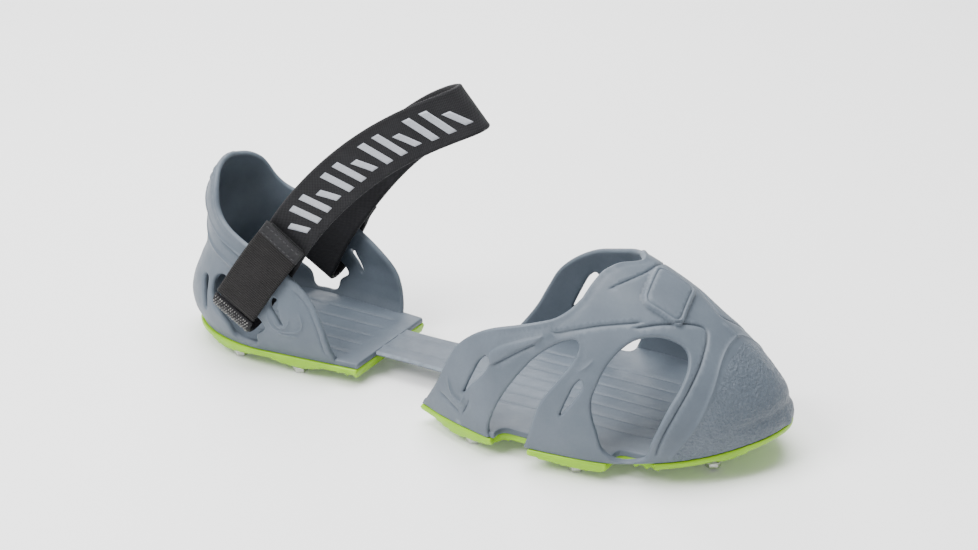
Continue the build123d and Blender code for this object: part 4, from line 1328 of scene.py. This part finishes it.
# ---- materials ----
class Shader:
    """Small helper that keeps node code short."""

    def __init__(self, name):
        self.mat = bpy.data.materials.new(name)
        self.mat.use_nodes = True
        self.tree = self.mat.node_tree
        self.shader = self.tree.nodes["Principled BSDF"]

    def node(self, kind, inputs=(), **props):
        n = self.tree.nodes.new(kind)
        for key, value in props.items():
            setattr(n, key, value)
        for socket, value in dict(inputs).items():
            if isinstance(value, bpy.types.NodeSocket):
                self.tree.links.new(value, n.inputs[socket])
            else:
                n.inputs[socket].default_value = value
        return n

    def object_place(self):
        return self.node("ShaderNodeTexCoord").outputs["Object"]

    def noise(self, scale, detail=4.0, rough=0.55, place=None, distortion=0.0):
        n = self.node("ShaderNodeTexNoise", {"Vector": place or self.object_place(), "Scale": scale,
                                             "Detail": detail, "Roughness": rough, "Distortion": distortion})
        return n.outputs["Fac"]

    def cells(self, scale, **feature):
        inputs = {"Vector": self.object_place(), "Scale": scale}
        return self.node("ShaderNodeTexVoronoi", inputs, **feature)

    def math(self, kind, a, b=0.0):
        return self.node("ShaderNodeMath", {0: a, 1: b}, operation=kind).outputs[0]

    def remap(self, value, low, high, to_low, to_high):
        return self.node("ShaderNodeMapRange", {0: value, 1: low, 2: high, 3: to_low, 4: to_high}).outputs[0]

    def blend(self, factor, first, second):
        n = self.tree.nodes.new("ShaderNodeMix")
        n.data_type = "RGBA"
        for socket, value in ((n.inputs[0], factor), (n.inputs[6], first), (n.inputs[7], second)):
            if isinstance(value, bpy.types.NodeSocket):
                self.tree.links.new(value, socket)
            else:
                socket.default_value = value if isinstance(value, float) else (*value, 1.0)[:4]
        return n.outputs[2]

    def bump(self, height, strength, distance, under=None):
        inputs = {"Height": height, "Strength": strength, "Distance": distance}
        if under is not None:
            inputs["Normal"] = under
        return self.node("ShaderNodeBump", inputs).outputs[0]

    def edges(self, low, high):
        """0 to 1 over a range of pointiness: ridges are above 0.5 and crevices below it."""
        geo = self.node("ShaderNodeNewGeometry")
        return self.remap(geo.outputs["Pointiness"], low, high, 0.0, 1.0)

    def on_edges(self, base, low, high, share, tone):
        """The base colour with another tone on its ridges or in its crevices."""
        return self.blend(self.math("MULTIPLY", self.edges(low, high), share), base, tone)

    def patches(self, base, noise, low, high, share, tone):
        """The base colour with another tone where a noise is high."""
        return self.blend(self.remap(noise, low, high, 0.0, share), base, tone)

    def set(self, **sockets):
        names = {"color": "Base Color", "rough": "Roughness", "normal": "Normal", "metal": "Metallic",
                 "sheen": "Sheen Weight", "sheen_rough": "Sheen Roughness", "specular": "Specular IOR Level"}
        for key, value in sockets.items():
            socket = self.shader.inputs[names[key]]
            if isinstance(value, bpy.types.NodeSocket):
                self.tree.links.new(value, socket)
            else:
                socket.default_value = value
        return self.mat


def elastomer(name, grained):
    s = Shader(name)
    broad = s.remap(s.noise(45, 3), 0.35, 0.65, 0, 1)
    fine = s.remap(s.noise(900, 5, 0.7), 0.3, 0.7, 0, 1)
    base = s.blend(broad, (0.078, 0.097, 0.121), (0.096, 0.118, 0.145))
    base = s.blend(s.math("MULTIPLY", fine, 0.22), base, (0.058, 0.073, 0.092))
    worn = s.math("MULTIPLY", s.edges(0.515, 0.60), s.remap(s.noise(320, 3), 0.35, 0.7, 0.15, 0.7))
    base = s.blend(worn, base, (0.19, 0.222, 0.262))
    # painted shade: a darker tone laid into the crevices, where shade falls
    base = s.on_edges(base, 0.49, 0.44, 0.45, (0.030, 0.039, 0.050))
    rough = s.remap(s.noise(160, 4), 0.3, 0.7, 0.46, 0.6)
    skin = s.bump(s.noise(2600, 3, 0.6), 0.16, 0.00012)
    if grained:
        wrinkle = s.noise(760, 2.5, 0.5, distortion=1.1)
        cell = s.cells(880, feature="SMOOTH_F1")
        cell.inputs["Smoothness"].default_value = 0.6
        cell_part = s.math("MULTIPLY", cell.outputs["Distance"], 0.9)
        height = s.math("ADD", s.math("MULTIPLY", wrinkle, 1.2), cell_part)
        skin = s.bump(height, 0.85, 0.00045, skin)
        base = s.patches(base, wrinkle, 0.5, 0.72, 0.30, (0.15, 0.178, 0.212))
        rough = s.remap(wrinkle, 0.35, 0.7, 0.56, 0.42)
    return s.set(color=base, rough=rough, normal=skin, specular=0.36, sheen=0.0)


def lime_rubber():
    s = Shader("lime_tread_rubber")
    broad = s.remap(s.noise(70, 3), 0.35, 0.65, 0, 1)
    base = s.blend(broad, (0.190, 0.400, 0.001), (0.245, 0.480, 0.002))
    base = s.on_edges(base, 0.52, 0.60, 0.6, (0.33, 0.58, 0.015))
    # painted shade: a dark green tone laid into the crevices, where shade falls
    base = s.on_edges(base, 0.49, 0.42, 0.75, (0.075, 0.20, 0.001))
    base = s.patches(base, s.noise(420, 6, 0.7), 0.58, 0.74, 0.16, (0.15, 0.29, 0.012))
    rough = s.remap(s.noise(240, 4), 0.3, 0.7, 0.34, 0.52)
    skin = s.bump(s.noise(1500, 4), 0.14, 0.00012)
    return s.set(color=base, rough=rough, normal=skin, specular=0.35)


def steel(name, tone, rough_low, rough_high):
    s = Shader(name)
    place = s.node("ShaderNodeMapping", {"Vector": s.object_place(), "Scale": (1.0, 1.0, 9.0)}).outputs[0]
    brushed = s.noise(900, 4, 0.6, place)
    base = s.blend(s.remap(brushed, 0.35, 0.65, 0, 1), tuple(v * 0.80 for v in tone), tone)
    base = s.on_edges(base, 0.52, 0.62, 0.7, (0.78, 0.78, 0.76))
    base = s.patches(base, s.noise(260, 5, 0.65), 0.56, 0.7, 0.35, (0.33, 0.31, 0.28))
    return s.set(color=base, rough=s.remap(brushed, 0.3, 0.7, rough_low, rough_high), metal=1.0,
                 normal=s.bump(brushed, 0.18, 0.00008))


def woven(name, dark, light, pitches, depth, sheen, ribbed=False):
    """Woven webbing: crossed waves along and across the run that each ribbon stores on its points."""
    s = Shader(name)
    attribute = s.node("ShaderNodeAttribute", attribute_name="run", attribute_type="GEOMETRY")
    split = s.node("ShaderNodeSeparateXYZ", {"Vector": attribute.outputs["Vector"]})
    wobble = s.math("MULTIPLY", s.noise(700, 3), 0.9)
    phases = [s.math("MULTIPLY", split.outputs[k], 2 * pi / pitches[k]) for k in (0, 1)]
    run, across = [s.math("SINE", s.math("ADD", phase, wobble)) for phase in phases]
    weave = s.math("MULTIPLY", run, across)
    if ribbed:
        weave = s.math("ADD", s.math("MULTIPLY", run, 0.9), s.math("MULTIPLY", weave, 0.5))
    height = s.math("ADD", weave, s.math("MULTIPLY", s.noise(3200, 3, 0.7), 0.5))
    tone = s.remap(height, -1.0, 1.5, 0.0, 1.0)
    base = s.blend(tone, dark, light)
    base = s.patches(base, s.noise(90, 4), 0.45, 0.7, 0.25, tuple(v * 1.6 for v in light))
    base = s.on_edges(base, 0.52, 0.62, 0.3, (0.045, 0.045, 0.048))
    return s.set(color=base, rough=s.remap(tone, 0, 1, 0.72, 0.55), normal=s.bump(height, 0.55, depth),
                 sheen=sheen, sheen_rough=0.45, specular=0.16)


def reflective_print():
    s = Shader("reflective_print")
    bead = s.cells(3800).outputs["Distance"]
    base = s.blend(s.remap(bead, 0.1, 0.6, 0, 1), (0.40, 0.415, 0.45), (0.27, 0.285, 0.32))
    base = s.patches(base, s.noise(1900, 4, 0.7), 0.62, 0.72, 0.5, (0.11, 0.11, 0.12))
    return s.set(color=base, rough=s.remap(s.noise(500), 0.3, 0.7, 0.3, 0.5),
                 normal=s.bump(bead, 0.3, 0.00006), specular=0.6)


def hook_plastic():
    s = Shader("hook_plastic")
    tone = s.remap(s.noise(650, 3), 0.35, 0.65, 0, 1)
    base = s.blend(tone, (0.04, 0.04, 0.042), (0.26, 0.255, 0.245))
    return s.set(color=base, rough=s.remap(s.noise(1200), 0.3, 0.7, 0.3, 0.5), specular=0.5)


def felt(name, dark, light):
    s = Shader(name)
    fuzz = s.noise(2200, 6, 0.75, distortion=1.5)
    base = s.blend(s.remap(fuzz, 0.35, 0.65, 0, 1), dark, light)
    return s.set(color=base, rough=0.9, normal=s.bump(fuzz, 0.8, 0.0003), sheen=0.1, sheen_rough=0.5,
                 specular=0.15)


def sewing_thread():
    s = Shader("sewing_thread")
    wave = s.node("ShaderNodeTexWave", {"Vector": s.object_place(), "Scale": 900.0, "Distortion": 2.0},
                  wave_type="BANDS", bands_direction="DIAGONAL").outputs["Fac"]
    base = s.blend(wave, (0.018, 0.018, 0.020), (0.075, 0.075, 0.08))
    return s.set(color=base, rough=0.6, normal=s.bump(wave, 0.4, 0.00008), specular=0.15)


# ---- stage, light and camera ----
FLOOR_HALF = 3.0
FLOOR_GLOW, WORLD_GLOW = 0.10, 0.42


def build_stage():
    corners = ((-1, -1), (1, -1), (1, 1), (-1, 1))
    mesh = bpy.data.meshes.new("floor")
    verts = [(x * FLOOR_HALF, y * FLOOR_HALF, cad_box[0][2]) for x, y in corners]
    mesh.from_pydata(verts, [], [(0, 1, 2, 3)])
    floor = bpy.data.objects.new("floor", mesh)
    bpy.context.scene.collection.objects.link(floor)
    s = Shader("pale_floor")
    tone = s.blend(s.remap(s.noise(3.0, 3), 0.3, 0.7, 0, 1), (0.86, 0.86, 0.86), (0.89, 0.89, 0.89))
    s.set(color=tone, rough=0.65, specular=0.2)
    s.shader.inputs["Emission Color"].default_value = (1, 1, 1, 1)
    s.shader.inputs["Emission Strength"].default_value = FLOOR_GLOW
    # clear from below, so that the underside shows
    clear = s.node("ShaderNodeBsdfTransparent")
    below = s.node("ShaderNodeNewGeometry").outputs["Backfacing"]
    both = s.node("ShaderNodeMixShader", {0: below, 1: s.shader.outputs[0], 2: clear.outputs[0]})
    s.tree.links.new(both.outputs[0], s.tree.nodes["Material Output"].inputs["Surface"])
    mesh.materials.append(s.mat)
    world = bpy.data.worlds.new("studio")
    bpy.context.scene.world = world
    world.use_nodes = True
    back = world.node_tree.nodes["Background"]
    back.inputs[0].default_value = (0.97, 0.985, 1.0, 1)
    back.inputs[1].default_value = WORLD_GLOW


def area_light(name, place, aim, size, power):
    data = bpy.data.lights.new(name, "AREA")
    data.shape = "RECTANGLE"
    data.size, data.size_y = size
    data.energy = power
    light = bpy.data.objects.new(name, data)
    light.location = place
    light.rotation_euler = (Vector(aim) - Vector(place)).to_track_quat("-Z", "Y").to_euler()
    bpy.context.scene.collection.objects.link(light)


def build_camera():
    azimuth, elevation, distance = radians(30.0), radians(24.3), 0.880
    target = Vector((-0.001, -0.008, 0.044))
    back = Vector((sin(azimuth) * cos(elevation), -cos(azimuth) * cos(elevation), sin(elevation)))
    data = bpy.data.cameras.new("camera")
    data.lens = 80.3
    data.sensor_width = 36.0
    data.clip_start = 0.02
    camera = bpy.data.objects.new("camera", data)
    camera.location = target + back * distance
    camera.rotation_euler = back.to_track_quat("Z", "Y").to_euler()
    bpy.context.scene.collection.objects.link(camera)
    bpy.context.scene.camera = camera


# ---- assembly ----
build_camera()
build_stage()
area_light("key", (-0.55, -0.85, 1.05), (0, 0, 0.03), (0.8, 0.6), 26)
area_light("top", (-0.10, 0.10, 1.4), (0, 0, 0), (1.3, 1.0), 44)
area_light("rim", (-0.7, 0.9, 0.7), (0, 0, 0.04), (0.8, 0.5), 9)

rubber = elastomer("grey_elastomer", False)
grain = elastomer("grey_elastomer_pebbled", True)
lime = lime_rubber()
stud_steel = steel("stud_steel", (0.56, 0.56, 0.55), 0.24, 0.40)
nut_steel = steel("nut_steel", (0.58, 0.58, 0.57), 0.3, 0.45)
mats = {
    "webbing": woven("black_webbing", (0.003, 0.003, 0.004), (0.013, 0.013, 0.015), (1.1, 0.9),
                     0.00022, 0.04),
    "ribbed": woven("ribbed_webbing", (0.003, 0.003, 0.003), (0.014, 0.013, 0.013), (0.9, 0.7), 0.0002, 0.02,
                    ribbed=True),
    "hem": woven("tab_hem_webbing", (0.008, 0.008, 0.009), (0.024, 0.024, 0.026), (0.8, 0.8), 0.00018, 0.06),
    "print": reflective_print(),
    "hook": hook_plastic(),
    "loop": felt("loop_felt", (0.006, 0.006, 0.007), (0.045, 0.045, 0.048)),
    "thread": sewing_thread(),
}
for node_name, node_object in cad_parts.items():
    if "_nut_" in node_name:
        for slot in node_object.material_slots:
            slot.material = nut_steel

build_forefoot_shell([rubber, grain])
build_heel_shell([rubber])
build_plates(rubber, lime)
build_bridge(rubber)
build_studs(stud_steel)
build_strap(mats)
